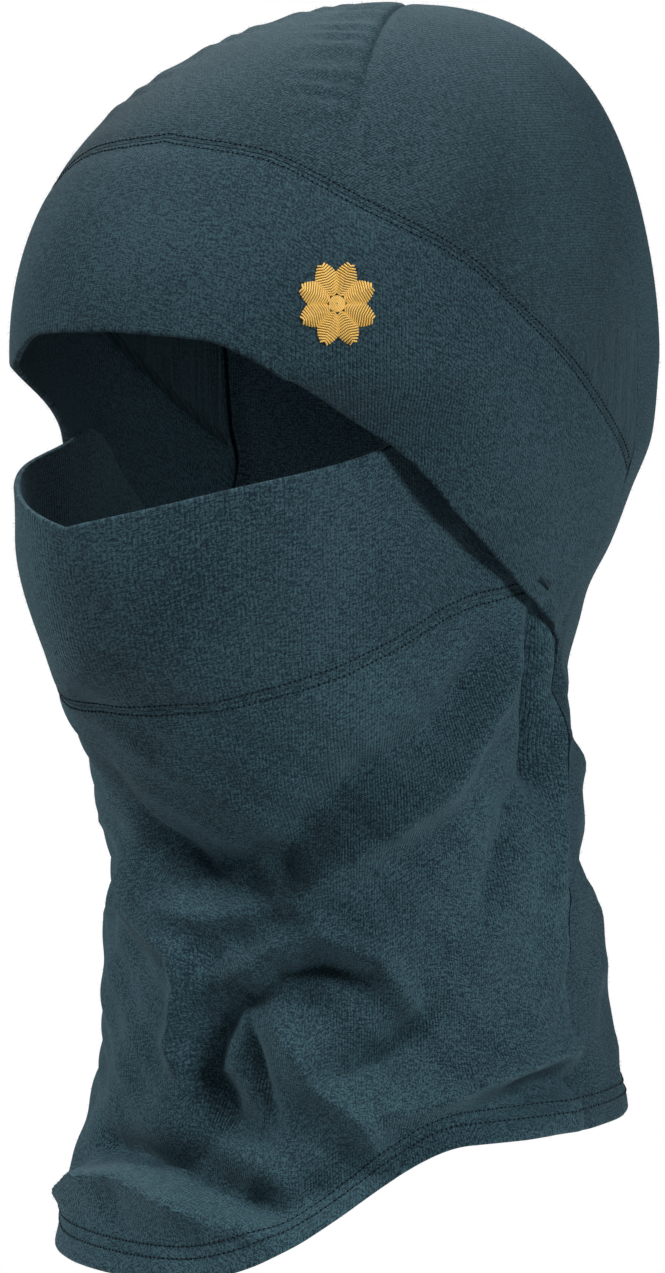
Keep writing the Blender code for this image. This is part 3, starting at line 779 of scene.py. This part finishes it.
def cloth_panel(name, skin, degrees, z, material, thickness=CLOTH,
                folded_low=False, folded_top=False, dome=False):
    """A closed sheet on a skin. degrees and z are grids of rows down and columns across."""
    degrees, z = np.broadcast_arrays(degrees, z)
    thickness = np.broadcast_to(thickness, (len(z), 1))
    outer, normal = skin(degrees, z)
    inner = outer - normal * thickness[..., None]
    grid_map = cloth_map(outer, dome)
    rows, maps = list(outer), list(grid_map)

    def rolled(r, beside, ways):
        out = outer[r] - outer[beside]
        out /= np.maximum(np.linalg.norm(out, axis=-1, keepdims=True), 1e-9)
        centre, half = (outer[r] + inner[r]) / 2, thickness[r][0] / 2
        for angle in np.linspace(0, math.pi, FOLD_STEPS + 2)[1:-1][::ways]:
            rows.append(centre + half * (normal[r] * math.cos(angle) + out * math.sin(angle)))
            maps.append(grid_map[r])

    if folded_low:
        rolled(-1, -2, 1)
    low_count = len(rows)
    rows += list(inner[::-1])
    maps += list(grid_map[::-1])
    if folded_top:
        rolled(0, 1, -1)
    points, flat = np.array(rows), np.array(maps)
    total, across = points.shape[:2]
    index = np.arange(total * across).reshape(total, across)
    faces = wrap_faces(index)
    last = len(z) - 1
    for c in (0, across - 1):
        for r in range(last):
            opposite = low_count + last - r
            faces.append(index[[r, r + 1, opposite - 1, opposite], c].tolist())
        if folded_low:
            faces.append(index[last:low_count + 1, c].tolist())
        if folded_top:
            faces.append(index[low_count + last:, c].tolist() + [int(index[0, c])])
    return finish_mesh(name, panel_mesh(name, points, faces, flat), material)


def finish_mesh(name, mesh, material):
    """Merge doubles, turn the faces out, shade smooth and link the piece."""
    tidy = bmesh.new()
    tidy.from_mesh(mesh)
    bmesh.ops.remove_doubles(tidy, verts=tidy.verts, dist=1e-6)
    bmesh.ops.dissolve_degenerate(tidy, edges=tidy.edges, dist=1e-7)
    bmesh.ops.recalc_face_normals(tidy, faces=tidy.faces)
    tidy.to_mesh(mesh)
    tidy.free()
    mesh.shade_smooth()
    mesh.set_sharp_from_angle(angle=SHARP)
    mesh.materials.clear()
    mesh.materials.append(material)
    piece = bpy.data.objects.new(name, mesh)
    bpy.context.collection.objects.link(piece)
    return piece


def rows_between(top, low, count, power=1.0):
    return top + (low - top) * np.linspace(0, 1, count + 1)[:, None] ** power


def area_of(piece):
    return sum(face.area for face in piece.data.polygons) / 2


print("cloth:", CLOTH / MM, "mm thick, folded edges rolled in", FOLD_STEPS + 1, "steps")

# %% [markdown]
# The crown is cut as half a dome and its rows start at the apex, where the side seams cross. The
# forehead band is one strip folded double: its fold is the brim, and its two raw edges are sewn to
# the crown.

# %% Hood panels
SEAM_GAP = 0.00008
across = np.linspace(-90, 90, 241)
away = np.abs(across)
crown = cloth_panel(
    "crown_cloth", lambda d, z: hood(d, z, past_seam=-SEAM_GAP), across,
    np.linspace(0.004, 1, 64)[:, None] ** 2 * (crown_seam(away) + SEAM_GAP), JERSEYS["crown"], dome=True,
)
forehead = cloth_panel(
    "forehead_band_cloth", lambda d, z: hood(d, z, past_seam=-SEAM_GAP), across,
    rows_between(crown_seam(away) - SEAM_GAP, brim(away), 46), JERSEYS["band"],
    thickness=2 * CLOTH, folded_low=True,
)
behind = np.linspace(90, 270, 181)
back_share = np.linspace(0.003, 1, 170)[:, None]
back_z = HEM_BACK * (0.35 * back_share**2 + 0.65 * back_share**1.3)
back_thickness = np.where(back_z < HEM_BACK + HEM_DEPTH, 2 * CLOTH, CLOTH)
back = cloth_panel(
    "back_cloth", lambda d, z: hood(d, z, past_seam=SEAM_GAP), behind, back_z, JERSEYS["back"],
    thickness=back_thickness, folded_low=True,
)
for piece in (crown, forehead, back):
    print(piece.name, len(piece.data.polygons), "faces", round(area_of(piece), 4), "m2")

# %% [markdown]
# The lower front is the folded face band and the neck tube sewn below it. The neck tube's rows
# run from the face seam to the hem, where the cloth is turned up inside and is twice as thick.

# %% Face band and neck tube
face_across = np.linspace(-90, 90, 241)
face_away = np.abs(face_across)
face = cloth_panel(
    "face_band_cloth", front, face_across,
    rows_between(face_top(face_away), face_seam(face_away) + SEAM_GAP, 46), JERSEYS["face"],
    thickness=2 * CLOTH, folded_top=True,
)


def neck_lines(count):
    """Turn shares from -1 to 1 across the neck panel, and its top and hem heights there."""
    share = np.linspace(-1, 1, count + 1)
    low, top = np.full(share.shape, HEM_BACK), np.full(share.shape, -0.155)
    for _ in range(12):
        turn = np.radians(share * side_turn(low) - 90)
        place = on_skin(front_section, turn, low, HINGE_Y)[0]
        low = hem_height(place[..., 0], place[..., 1])
        top = (top + face_seam(np.abs(share) * side_turn(top)) - SEAM_GAP) / 2
    return share, top, low


NECK_ROWS = 120
NECK_LENGTH = 0.145            # from the face seam down to the hem, on average
neck_share, neck_top, neck_low = neck_lines(280)
neck_z = rows_between(neck_top, neck_low, NECK_ROWS)
neck_degrees = neck_share * side_turn(neck_z)
hem_row = int(round(NECK_ROWS * (1 - HEM_DEPTH / NECK_LENGTH)))
neck_thickness = np.where(np.arange(NECK_ROWS + 1)[:, None] >= hem_row, 2 * CLOTH, CLOTH)
neck = cloth_panel(
    "neck_cloth", front, neck_degrees, neck_z, JERSEYS["neck"],
    thickness=neck_thickness, folded_low=True,
)
for piece in (face, neck):
    print(piece.name, len(piece.data.polygons), "faces", round(area_of(piece), 4), "m2")

# %% [markdown]
# A coverstitch shows two parallel rows of short stitches on the outside and a looped thread on the
# inside. Thousands of stitches repeat along a line, so a Geometry Nodes tree makes them: it cuts a
# curve into even steps and puts a small rounded stitch on each one, turned along the curve.

# %% Stitch tree


def geometry_tree(name, inputs):
    tree = bpy.data.node_groups.new(name, "GeometryNodeTree")
    tree.interface.new_socket("Geometry", in_out="INPUT", socket_type="NodeSocketGeometry")
    for socket, kind, value in inputs:
        made = tree.interface.new_socket(socket, in_out="INPUT", socket_type=kind)
        if value is not None:
            made.default_value = value
    tree.interface.new_socket("Geometry", in_out="OUTPUT", socket_type="NodeSocketGeometry")
    return tree, tree.nodes.new("NodeGroupInput"), tree.nodes.new("NodeGroupOutput")


def finish_tree(tree, start, end, geometry):
    """Makes the copies real, paints them, and ends the tree."""
    real = add_node(tree, "GeometryNodeRealizeInstances", {"Geometry": geometry})
    inputs = {"Geometry": real.outputs[0], "Material": start.outputs["Material"]}
    paint = add_node(tree, "GeometryNodeSetMaterial", inputs)
    tree.links.new(paint.outputs[0], end.inputs["Geometry"])


def build_stitch_tree():
    tree, start, end = geometry_tree("row_of_stitches", (
        ("Pitch", "NodeSocketFloat", 0.0025), ("Length", "NodeSocketFloat", 0.002),
        ("Width", "NodeSocketFloat", 0.0005), ("Material", "NodeSocketMaterial", None),
    ))
    given = start.outputs
    steps = add_node(
        tree, "GeometryNodeResampleCurve", {"Curve": given["Geometry"], "Length": given["Pitch"]},
        mode="LENGTH",
    )
    shape = add_node(tree, "GeometryNodeMeshUVSphere", {"Segments": 6, "Rings": 5, "Radius": 0.5})
    sides = {"X": given["Width"], "Y": given["Width"], "Z": given["Length"]}
    size = add_node(tree, "ShaderNodeCombineXYZ", sides)
    tangent = tree.nodes.new("GeometryNodeInputTangent")
    turn = add_node(tree, "FunctionNodeAlignEulerToVector", {"Vector": tangent.outputs[0]}, axis="Z")
    put = add_node(tree, "GeometryNodeInstanceOnPoints", {
        "Points": steps.outputs[0], "Instance": shape.outputs["Mesh"],
        "Rotation": turn.outputs[0], "Scale": size.outputs[0],
    })
    finish_tree(tree, start, end, put.outputs[0])
    return tree


def build_thread_tree():
    """A continuous thread: a round section carried along a curve."""
    tree, start, end = geometry_tree("thread", (
        ("Width", "NodeSocketFloat", 0.0005), ("Material", "NodeSocketMaterial", None),
    ))
    half = math_node(tree, "MULTIPLY", start.outputs["Width"], 0.5)
    ring = add_node(tree, "GeometryNodeCurvePrimitiveCircle", {"Resolution": 5, "Radius": half})
    carry = add_node(tree, "GeometryNodeCurveToMesh", {
        "Fill Caps": True, "Curve": start.outputs["Geometry"], "Profile Curve": ring.outputs["Curve"],
    })
    finish_tree(tree, start, end, carry.outputs[0])
    return tree


STITCHES = build_stitch_tree()
THREAD = build_thread_tree()


def run_tree(name, data, tree, values):
    """Runs a tree on a curve or a mesh, and returns the result as a plain piece."""
    holder = bpy.data.objects.new(name + "_holder", data)
    bpy.context.collection.objects.link(holder)
    modifier = holder.modifiers.new("tree", "NODES")
    modifier.node_group = tree
    for item in tree.interface.items_tree:
        if item.in_out == "INPUT" and item.name in values:
            modifier[item.identifier] = values[item.name]
    bpy.context.view_layer.update()
    seen = holder.evaluated_get(bpy.context.evaluated_depsgraph_get())
    mesh = bpy.data.meshes.new_from_object(seen)
    bpy.data.objects.remove(holder)
    mesh.name = name
    piece = bpy.data.objects.new(name, mesh)
    bpy.context.collection.objects.link(piece)
    print(name, len(mesh.polygons), "faces")
    return piece


def from_paths(name, paths, tree, **values):
    """Runs a tree on open curves through the paths."""
    curve = bpy.data.curves.new(name + "_path", "CURVE")
    curve.dimensions = "3D"
    for path in paths:
        spline = curve.splines.new("POLY")
        spline.points.add(len(path) - 1)
        spline.points.foreach_set("co", np.hstack([path, np.ones((len(path), 1))]).ravel())
    piece = run_tree(name, curve, tree, values)
    piece.data.shade_smooth()
    return piece


# %% [markdown]
# Each row of stitches follows its seam a fixed way above or below it. The stitches sink into the
# groove, and a small dark speck of painted shadow sits between one stitch and the next, where the needle
# went in.

# %% Coverstitch rows
ROW_PITCH = 0.0030
NEEDLE_PITCH = 0.0011
LOOP_REACH = 0.0019            # of the looped thread to each side of the seam


def row_path(skin, degrees, seam_z, below, lift):
    """The line that runs a distance below a seam on a skin."""
    normal = skin(degrees, seam_z)[1]
    z = seam_z - below * np.hypot(normal[..., 0], normal[..., 1])
    return skin(degrees, z, lift)[0]


def zigzag(one, other):
    """A line that steps from one side to the other and back."""
    return np.where((np.arange(len(one)) % 2 == 0)[:, None], one, other)


def sew(name, rows, shadow_specks, loop):
    """The needle rows outside, dark specks of painted shadow at their needle holes, and the looped thread
    inside.
    """
    stitch = {"Pitch": NEEDLE_PITCH * 2, "Length": 0.0021, "Width": 0.00036, "Material": SEWING}
    # painted shadow specks where the needle went in
    shadow_speck = {"Pitch": NEEDLE_PITCH * 1.3, "Length": 0.0006, "Width": 0.0006, "Material": SHADOW_SPECK}
    return [
        from_paths(name + "_stitches", rows, STITCHES, **stitch),
        from_paths(name + "_needle_shade_specks", shadow_specks, STITCHES, **shadow_speck),
        from_paths(name + "_looper", [loop], THREAD, Width=0.0005, Material=SEWING),
    ]


def coverstitch(name, skin, degrees, seam_z):
    """A coverstitch along a seam."""
    rows, shadow_specks = (
        [row_path(skin, degrees, seam_z, side * ROW_PITCH / 2, lift) for side in (-1, 1)]
        for lift in (0.00004, 0.00008)
    )
    count = len(degrees) * 2
    fine = np.linspace(degrees[0], degrees[-1], count)
    fine_z = np.interp(fine, degrees, seam_z)
    way = np.where(np.arange(count) % 2 == 0, -1.0, 1.0) * LOOP_REACH
    return sew(name, rows, shadow_specks, row_path(skin, fine, fine_z, way, -0.0024))


seam_across = np.linspace(-88.5, 88.5, 361)
forehead_threads = coverstitch(
    "forehead", lambda d, z, lift=0.0: hood(d, z, lift), seam_across, crown_seam(np.abs(seam_across))
)
face_threads = coverstitch("face", front, seam_across, face_seam(np.abs(seam_across)))

# %% [markdown]
# The hem is turned up and held by a coverstitch that goes right round, over the side seams.

# %% Hem stitches


def hem_path(rise, lift):
    front_line = front(neck_share * side_turn(neck_low + rise), neck_low + rise, lift)[0]
    back_line = hood(behind, HEM_BACK + rise, lift, SEAM_GAP)[0]
    path = np.vstack([front_line, back_line[1:-1]])
    return np.vstack([path, path[:1]])


hem_rises = (HEM_STITCH_RISE + ROW_PITCH / 2, HEM_STITCH_RISE - ROW_PITCH / 2)
hem_loop = zigzag(*(hem_path(HEM_STITCH_RISE + way * LOOP_REACH, -0.0023) for way in (-1, 1)))
hem_threads = sew(
    "hem", [hem_path(rise, 0.0001) for rise in hem_rises],
    [hem_path(rise, 0.00008) for rise in hem_rises], hem_loop,
)

# %% [markdown]
# Inside, the front and back panels are joined by a plain seam whose allowance is overlocked. It
# is a raised strip of cloth with a thread that zigzags over it from apex to hem.

# %% Side seams and darts


def inner_strip(name, line, material, half_width, depth, lift, aside=0.0):
    """A closed strip on the inside of the hood. line gives degrees, heights and seam offset."""
    ways = np.linspace(-half_width, half_width, 5) + aside
    outer = np.array([line(way, lift) for way in ways])
    inner = np.array([line(way, lift - depth) for way in ways])
    rows = np.concatenate([outer, inner[::-1]])
    index = np.arange(rows.shape[0] * rows.shape[1]).reshape(rows.shape[:2])
    faces = wrap_faces(index) + [index[:, 0].tolist(), index[:, -1].tolist()]
    return finish_mesh(name, panel_mesh(name, rows, faces, rows[..., 1:]), material)


seam_share = np.linspace(0.06, 1, 300)
seam_z = (HEM_BACK + HEM_DEPTH + 0.001) * (0.35 * seam_share**2 + 0.65 * seam_share**1.3)
ALLOWANCE_ASIDE = 0.0030        # it is pressed towards the back
inside_pieces = []
for name, turn in (("side_seam_left", 90), ("side_seam_right", -90)):
    def seam_line(offset, lift, turn=turn):
        return hood(np.full(seam_z.shape, turn), seam_z, lift, offset)[0]

    strip = inner_strip(
        name + "_allowance", seam_line, JERSEYS["back"], 0.0022, 0.0009, -0.0021, ALLOWANCE_ASIDE
    )
    path = zigzag(*(seam_line(ALLOWANCE_ASIDE + way * 0.0023, -0.0033) for way in (-1, 1)))
    thread = from_paths(name + "_overlock", [path], THREAD, Width=0.0004, Material=SEWING)
    inside_pieces.append((strip, thread, name))

dart_share = np.linspace(0.42, 1, 60)
dart_z = DART_TIP * dart_share**2
dart_pieces = []
for name, side in (("crown_dart_left", 1), ("crown_dart_right", -1)):
    def dart_line(offset, lift, side=side):
        degrees = np.full(dart_z.shape, float(side * DART_ANGLE))
        centre = hood(degrees, dart_z)[0]
        reach = np.hypot(centre[:, 0], centre[:, 1] - side_seam_y(dart_z))
        spread = np.degrees(offset * (1.15 - dart_share) / reach)
        return hood(degrees + spread, dart_z, lift)[0]

    strip = inner_strip(name + "_fold", dart_line, JERSEYS["crown"], 0.0019, 0.0009, -0.0013)
    dart_pieces.append(strip)
print("inside pieces:", len(inside_pieces) * 2 + len(dart_pieces))

# %% [markdown]
# The embroidery is a plain rosette of eight petals in satin stitch: every petal is a fan of
# parallel gold threads, each a low arch from one edge of the petal to the other.

# %% Embroidered motif
MOTIF_ANGLE, MOTIF_HEIGHT = 27, -0.0765
PETALS = 8
THREADS_PER_PETAL = 13
PETAL_INNER, PETAL_OUTER, PETAL_WIDTH = 0.0022, 0.0094, 0.0058


def motif_frame():
    centre, normal = hood(np.array([MOTIF_ANGLE]), np.array([MOTIF_HEIGHT]))
    centre, normal = centre[0], normal[0]
    side = np.cross((0, 0, 1), normal)
    side /= np.linalg.norm(side)
    return centre, normal, side, np.cross(normal, side)


def on_motif(across, up, lift):
    """A point of the hood's cloth beside the motif's centre."""
    centre, _, side, rise = motif_frame()
    flat = centre + np.multiply.outer(across, side) + np.multiply.outer(up, rise)
    degrees = np.degrees(np.arctan2(flat[..., 1] - side_seam_y(flat[..., 2]), flat[..., 0])) + 90
    return hood(degrees, flat[..., 2], lift)[0]


def petal_threads():
    paths = []
    arch = np.linspace(-1, 1, 7)
    for p in range(PETALS):
        angle = 2 * math.pi * (p + 0.5) / PETALS
        along = np.array([math.cos(angle), math.sin(angle)])
        beside = np.array([-along[1], along[0]])
        for t in np.linspace(0, 1, THREADS_PER_PETAL):
            middle = along * (PETAL_INNER + (PETAL_OUTER - PETAL_INNER) * t)
            half = PETAL_WIDTH / 2 * math.sin(math.pi * (0.12 + 0.80 * t)) ** 0.8
            slant = along * 0.0006
            points = middle + np.outer(arch * half, beside) + np.outer(np.abs(arch), slant)
            lift = 0.00015 + 0.0006 * (1 - arch**2)
            paths.append(on_motif(points[:, 0], points[:, 1] * 1.08, lift))
    for ring in np.linspace(0.0004, 0.0019, 5):
        turn = np.linspace(0, 2 * math.pi, 25)
        paths.append(on_motif(ring * np.cos(turn), ring * np.sin(turn), np.full(25, 0.0006)))
    return paths


motif = from_paths("embroidered_rosette", petal_threads(), THREAD, Width=0.00052, Material=GOLD)

# %% [markdown]
# Jersey stretches under a needle, so a piece of non-woven backing lies behind the embroidery. It is
# an oval closed sheet, made of rings of points in front and behind.

# %% Embroidery backing
BACKING_SIDES = 48
BACKING_WIDTH, BACKING_HEIGHT = 0.0118, 0.013        # half sizes
ring_turn = np.linspace(0, 2 * math.pi, BACKING_SIDES + 1)[:-1]
backing_points = np.array([
    on_motif(BACKING_WIDTH * ring * np.cos(ring_turn), BACKING_HEIGHT * ring * np.sin(ring_turn), lift)
    for lift, rings in ((-0.0021, (0, 0.5, 1)), (-0.0025, (1, 0.5, 0)))
    for ring in rings
])
index = np.arange(len(backing_points) * BACKING_SIDES).reshape(-1, BACKING_SIDES)
turned = np.roll(index, -1, axis=1)
backing_faces = np.stack([index[:-1], turned[:-1], turned[1:], index[1:]], -1).reshape(-1, 4).tolist()
backing = finish_mesh(
    "embroidery_backing_sheet",
    panel_mesh("embroidery_backing_sheet", backing_points, backing_faces), BACKING,
)
print(backing.name, len(backing.data.polygons), "faces")

# %% [markdown]
# Two bar tacks hold the brim over the ends of the face band. Each is a dense zigzag of thread.

# %% Bar tacks
TACK_ANGLE, TACK_ABOVE_BRIM = 72, 0.004
tacks = []
for name, side in (("bar_tack_left_thread", 1), ("bar_tack_right_thread", -1)):
    turns = np.linspace(TACK_ANGLE - 2.6, TACK_ANGLE + 2.6, 46)
    height = brim(turns) + TACK_ABOVE_BRIM + np.where(np.arange(46) % 2 == 0, -0.0008, 0.0008)
    path = hood(side * turns, height, 0.00002)[0]
    tacks.append(from_paths(name, [path], THREAD, Width=0.00038, Material=SEWING))
print("bar tacks:", len(tacks))

# %% [markdown]
# The jersey is brushed, so short loose fibres stand up from it and soften its outline. Each fibre
# is a strip of two thin faces. A Geometry Nodes tree scatters them over a panel with a fixed seed
# and leans each one its own way. A hair system would do the same, but its strands would not export.

# %% Loose fibres


def build_fuzz_tree():
    tree, start, end = geometry_tree("loose_fibres", (
        ("Density", "NodeSocketFloat", 100000.0), ("Seed", "NodeSocketInt", 1),
        ("Material", "NodeSocketMaterial", None),
    ))
    scatter = add_node(tree, "GeometryNodeDistributePointsOnFaces", {
        "Mesh": start.outputs["Geometry"], "Density": start.outputs["Density"],
        "Seed": start.outputs["Seed"],
    })
    strip = add_node(tree, "GeometryNodeMeshGrid", {
        "Size X": 0.00003, "Size Y": 0.0010, "Vertices X": 2, "Vertices Y": 3,
    })
    stand = add_node(tree, "GeometryNodeTransform", {
        "Translation": (0, 0, 0.0003), "Rotation": (math.radians(65), 0, 0),
        "Geometry": strip.outputs["Mesh"],
    })
    lean = add_node(tree, "FunctionNodeRandomValue", {
        0: (-0.9, -0.9, 0.0), 1: (0.9, 0.9, 2 * math.pi), "Seed": start.outputs["Seed"],
    }, data_type="FLOAT_VECTOR")
    turn = add_node(tree, "FunctionNodeRotateRotation", {
        0: scatter.outputs["Rotation"], 1: lean.outputs[0],
    }, rotation_space="LOCAL")
    put = add_node(tree, "GeometryNodeInstanceOnPoints", {
        "Points": scatter.outputs["Points"], "Instance": stand.outputs[0],
        "Rotation": turn.outputs[0],
    })
    finish_tree(tree, start, end, put.outputs[0])
    return tree


FUZZ = build_fuzz_tree()


def fibres_on(panel, density, seed):
    """The loose fibres of one panel, as a plain mesh of their own."""
    values = {"Density": density, "Seed": seed, "Material": FIBRE}
    return run_tree(panel.name + "_fibres", panel.data, FUZZ, values)


fuzz = {
    panel: fibres_on(panel, density, seed)
    for panel, density, seed in (
        (crown, 260000.0, 3), (forehead, 160000.0, 4), (back, 110000.0, 5),
        (face, 160000.0, 6), (neck, 130000.0, 7),
    )
}

# %% [markdown]
# Every piece hides the CAD pieces it stands for, and the rigid ones ride on the hood's body. The
# face cover turns about its hinge by the jaw, and the cloth round it stretches; the face band, the
# neck tube and their threads are left in place on no body.


def belongs(piece, stretchy, slot, *nodes):
    """Says how a piece moves and which CAD pieces it stands for; slot, what it is made of, is not used."""
    if stretchy:
        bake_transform(piece)
    else:
        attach(piece, "hood")
    if nodes:
        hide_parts(*nodes)


for panel, stretchy, nodes in (
    (crown, False, ["crown_panel"]), (forehead, False, ["forehead_band"]), (back, False, ["back_panel"]),
    (face, True, ["face_band"]), (neck, True, ["neck_panel", "hem_fold"]),
):
    belongs(panel, stretchy, "brushed_jersey", *nodes)
    belongs(fuzz[panel], stretchy, "brushed_jersey")
for name, stretchy, (rows, shadow_specks, loop) in (
    ("forehead", False, forehead_threads), ("face", True, face_threads), ("hem", True, hem_threads),
):
    belongs(rows, stretchy, "sewing_thread", name + "_stitch_upper", name + "_stitch_lower")
    belongs(shadow_specks, stretchy, "sewing_thread")
    belongs(loop, stretchy, "sewing_thread", name + "_looper_thread")
for strip, thread, node in inside_pieces:
    belongs(strip, False, "brushed_jersey", node)
    belongs(thread, False, "sewing_thread")
for side, tack, dart in zip(("left", "right"), tacks, dart_pieces):
    belongs(tack, False, "sewing_thread", "bar_tack_" + side)
    belongs(dart, False, "brushed_jersey", "crown_dart_" + side)
belongs(motif, False, "embroidery_thread", "embroidered_motif")
belongs(backing, False, "embroidery_backing", "embroidery_backing")
print("pieces placed on their bodies")

# %% [markdown]
# Each panel is a sheet of cloth. No pattern of this hood was to be had, so these sizes are estimates.

# %% Sheets
print("sheets: 5 panels of jersey")

# %% [markdown]
# The stage is a small pale floor well below the hem, and soft lights: one high on the left that
# rakes over the folds, one on the right for the side, one behind for the fibre sheen, and a tiny one
# inside the hood that lights what the eye opening shows.

# %% Stage and light
STAGE_DROP = 0.20
AIM = Vector((0, 0, -0.15))
# name, place, size in metres, power in watts
LIGHTS = (
    ("key", (-0.8, -1.15, 1.5), 0.5, 45),
    ("side", (1.85, -0.05, 0.8), 0.5, 40),
    ("rim", (-1.2, 0.9, 1.0), 1.0, 16),
    ("inside", (0.0, 0.02, -0.07), 0.04, 0.035),
)


def add_floor():
    bpy.ops.mesh.primitive_circle_add(
        vertices=96, radius=0.55, fill_type="NGON", location=(0, 0, CAD_BOX[0][2] - STAGE_DROP)
    )
    floor = bpy.context.object
    floor.name = "floor"
    material, _, shader = principled("pale_floor")
    shader.inputs["Base Color"].default_value = (0.9, 0.9, 0.9, 1)
    shader.inputs["Roughness"].default_value = 0.9
    floor.data.materials.append(material)


def add_light(name, place, size, power):
    data = bpy.data.lights.new(name, "AREA")
    data.shape = "SQUARE"
    data.size = size
    data.energy = power
    light = bpy.data.objects.new(name, data)
    light.location = place
    light.rotation_euler = (Vector(place) - AIM).to_track_quat("Z", "Y").to_euler()
    bpy.context.collection.objects.link(light)


add_floor()
for row in LIGHTS:
    add_light(*row)
bpy.data.objects["inside"].visible_camera = False
print("lights:", len(LIGHTS))

# %% [markdown]
# The backdrop is white where the camera sees it, but lights the cloth only softly, and more from
# above than from the sides. A fully white surround would fill the folds with light and flatten them.

# %% Backdrop
GLOW, GLOW_ABOVE = 0.07, 0.34


def add_surround():
    world = bpy.data.worlds.new("surround")
    bpy.context.scene.world = world
    world.use_nodes = True
    tree = world.node_tree
    background = tree.nodes["Background"]
    background.inputs["Color"].default_value = (1, 1, 1, 1)
    direction = tree.nodes.new("ShaderNodeSeparateXYZ")
    tree.links.new(tree.nodes.new("ShaderNodeTexCoord").outputs["Generated"], direction.inputs[0])
    above = math_node(tree, "MAXIMUM", direction.outputs["Z"], 0.0)
    glow = math_node(tree, "MULTIPLY_ADD", above, GLOW_ABOVE, GLOW)
    seen = tree.nodes.new("ShaderNodeLightPath").outputs["Is Camera Ray"]
    strength = math_node(tree, "MAXIMUM", seen, glow)
    tree.links.new(strength, background.inputs["Strength"])


add_surround()
bpy.context.scene.view_settings.view_transform = "Standard"
print("backdrop: white to the camera, glow", GLOW, "to", GLOW + GLOW_ABOVE)
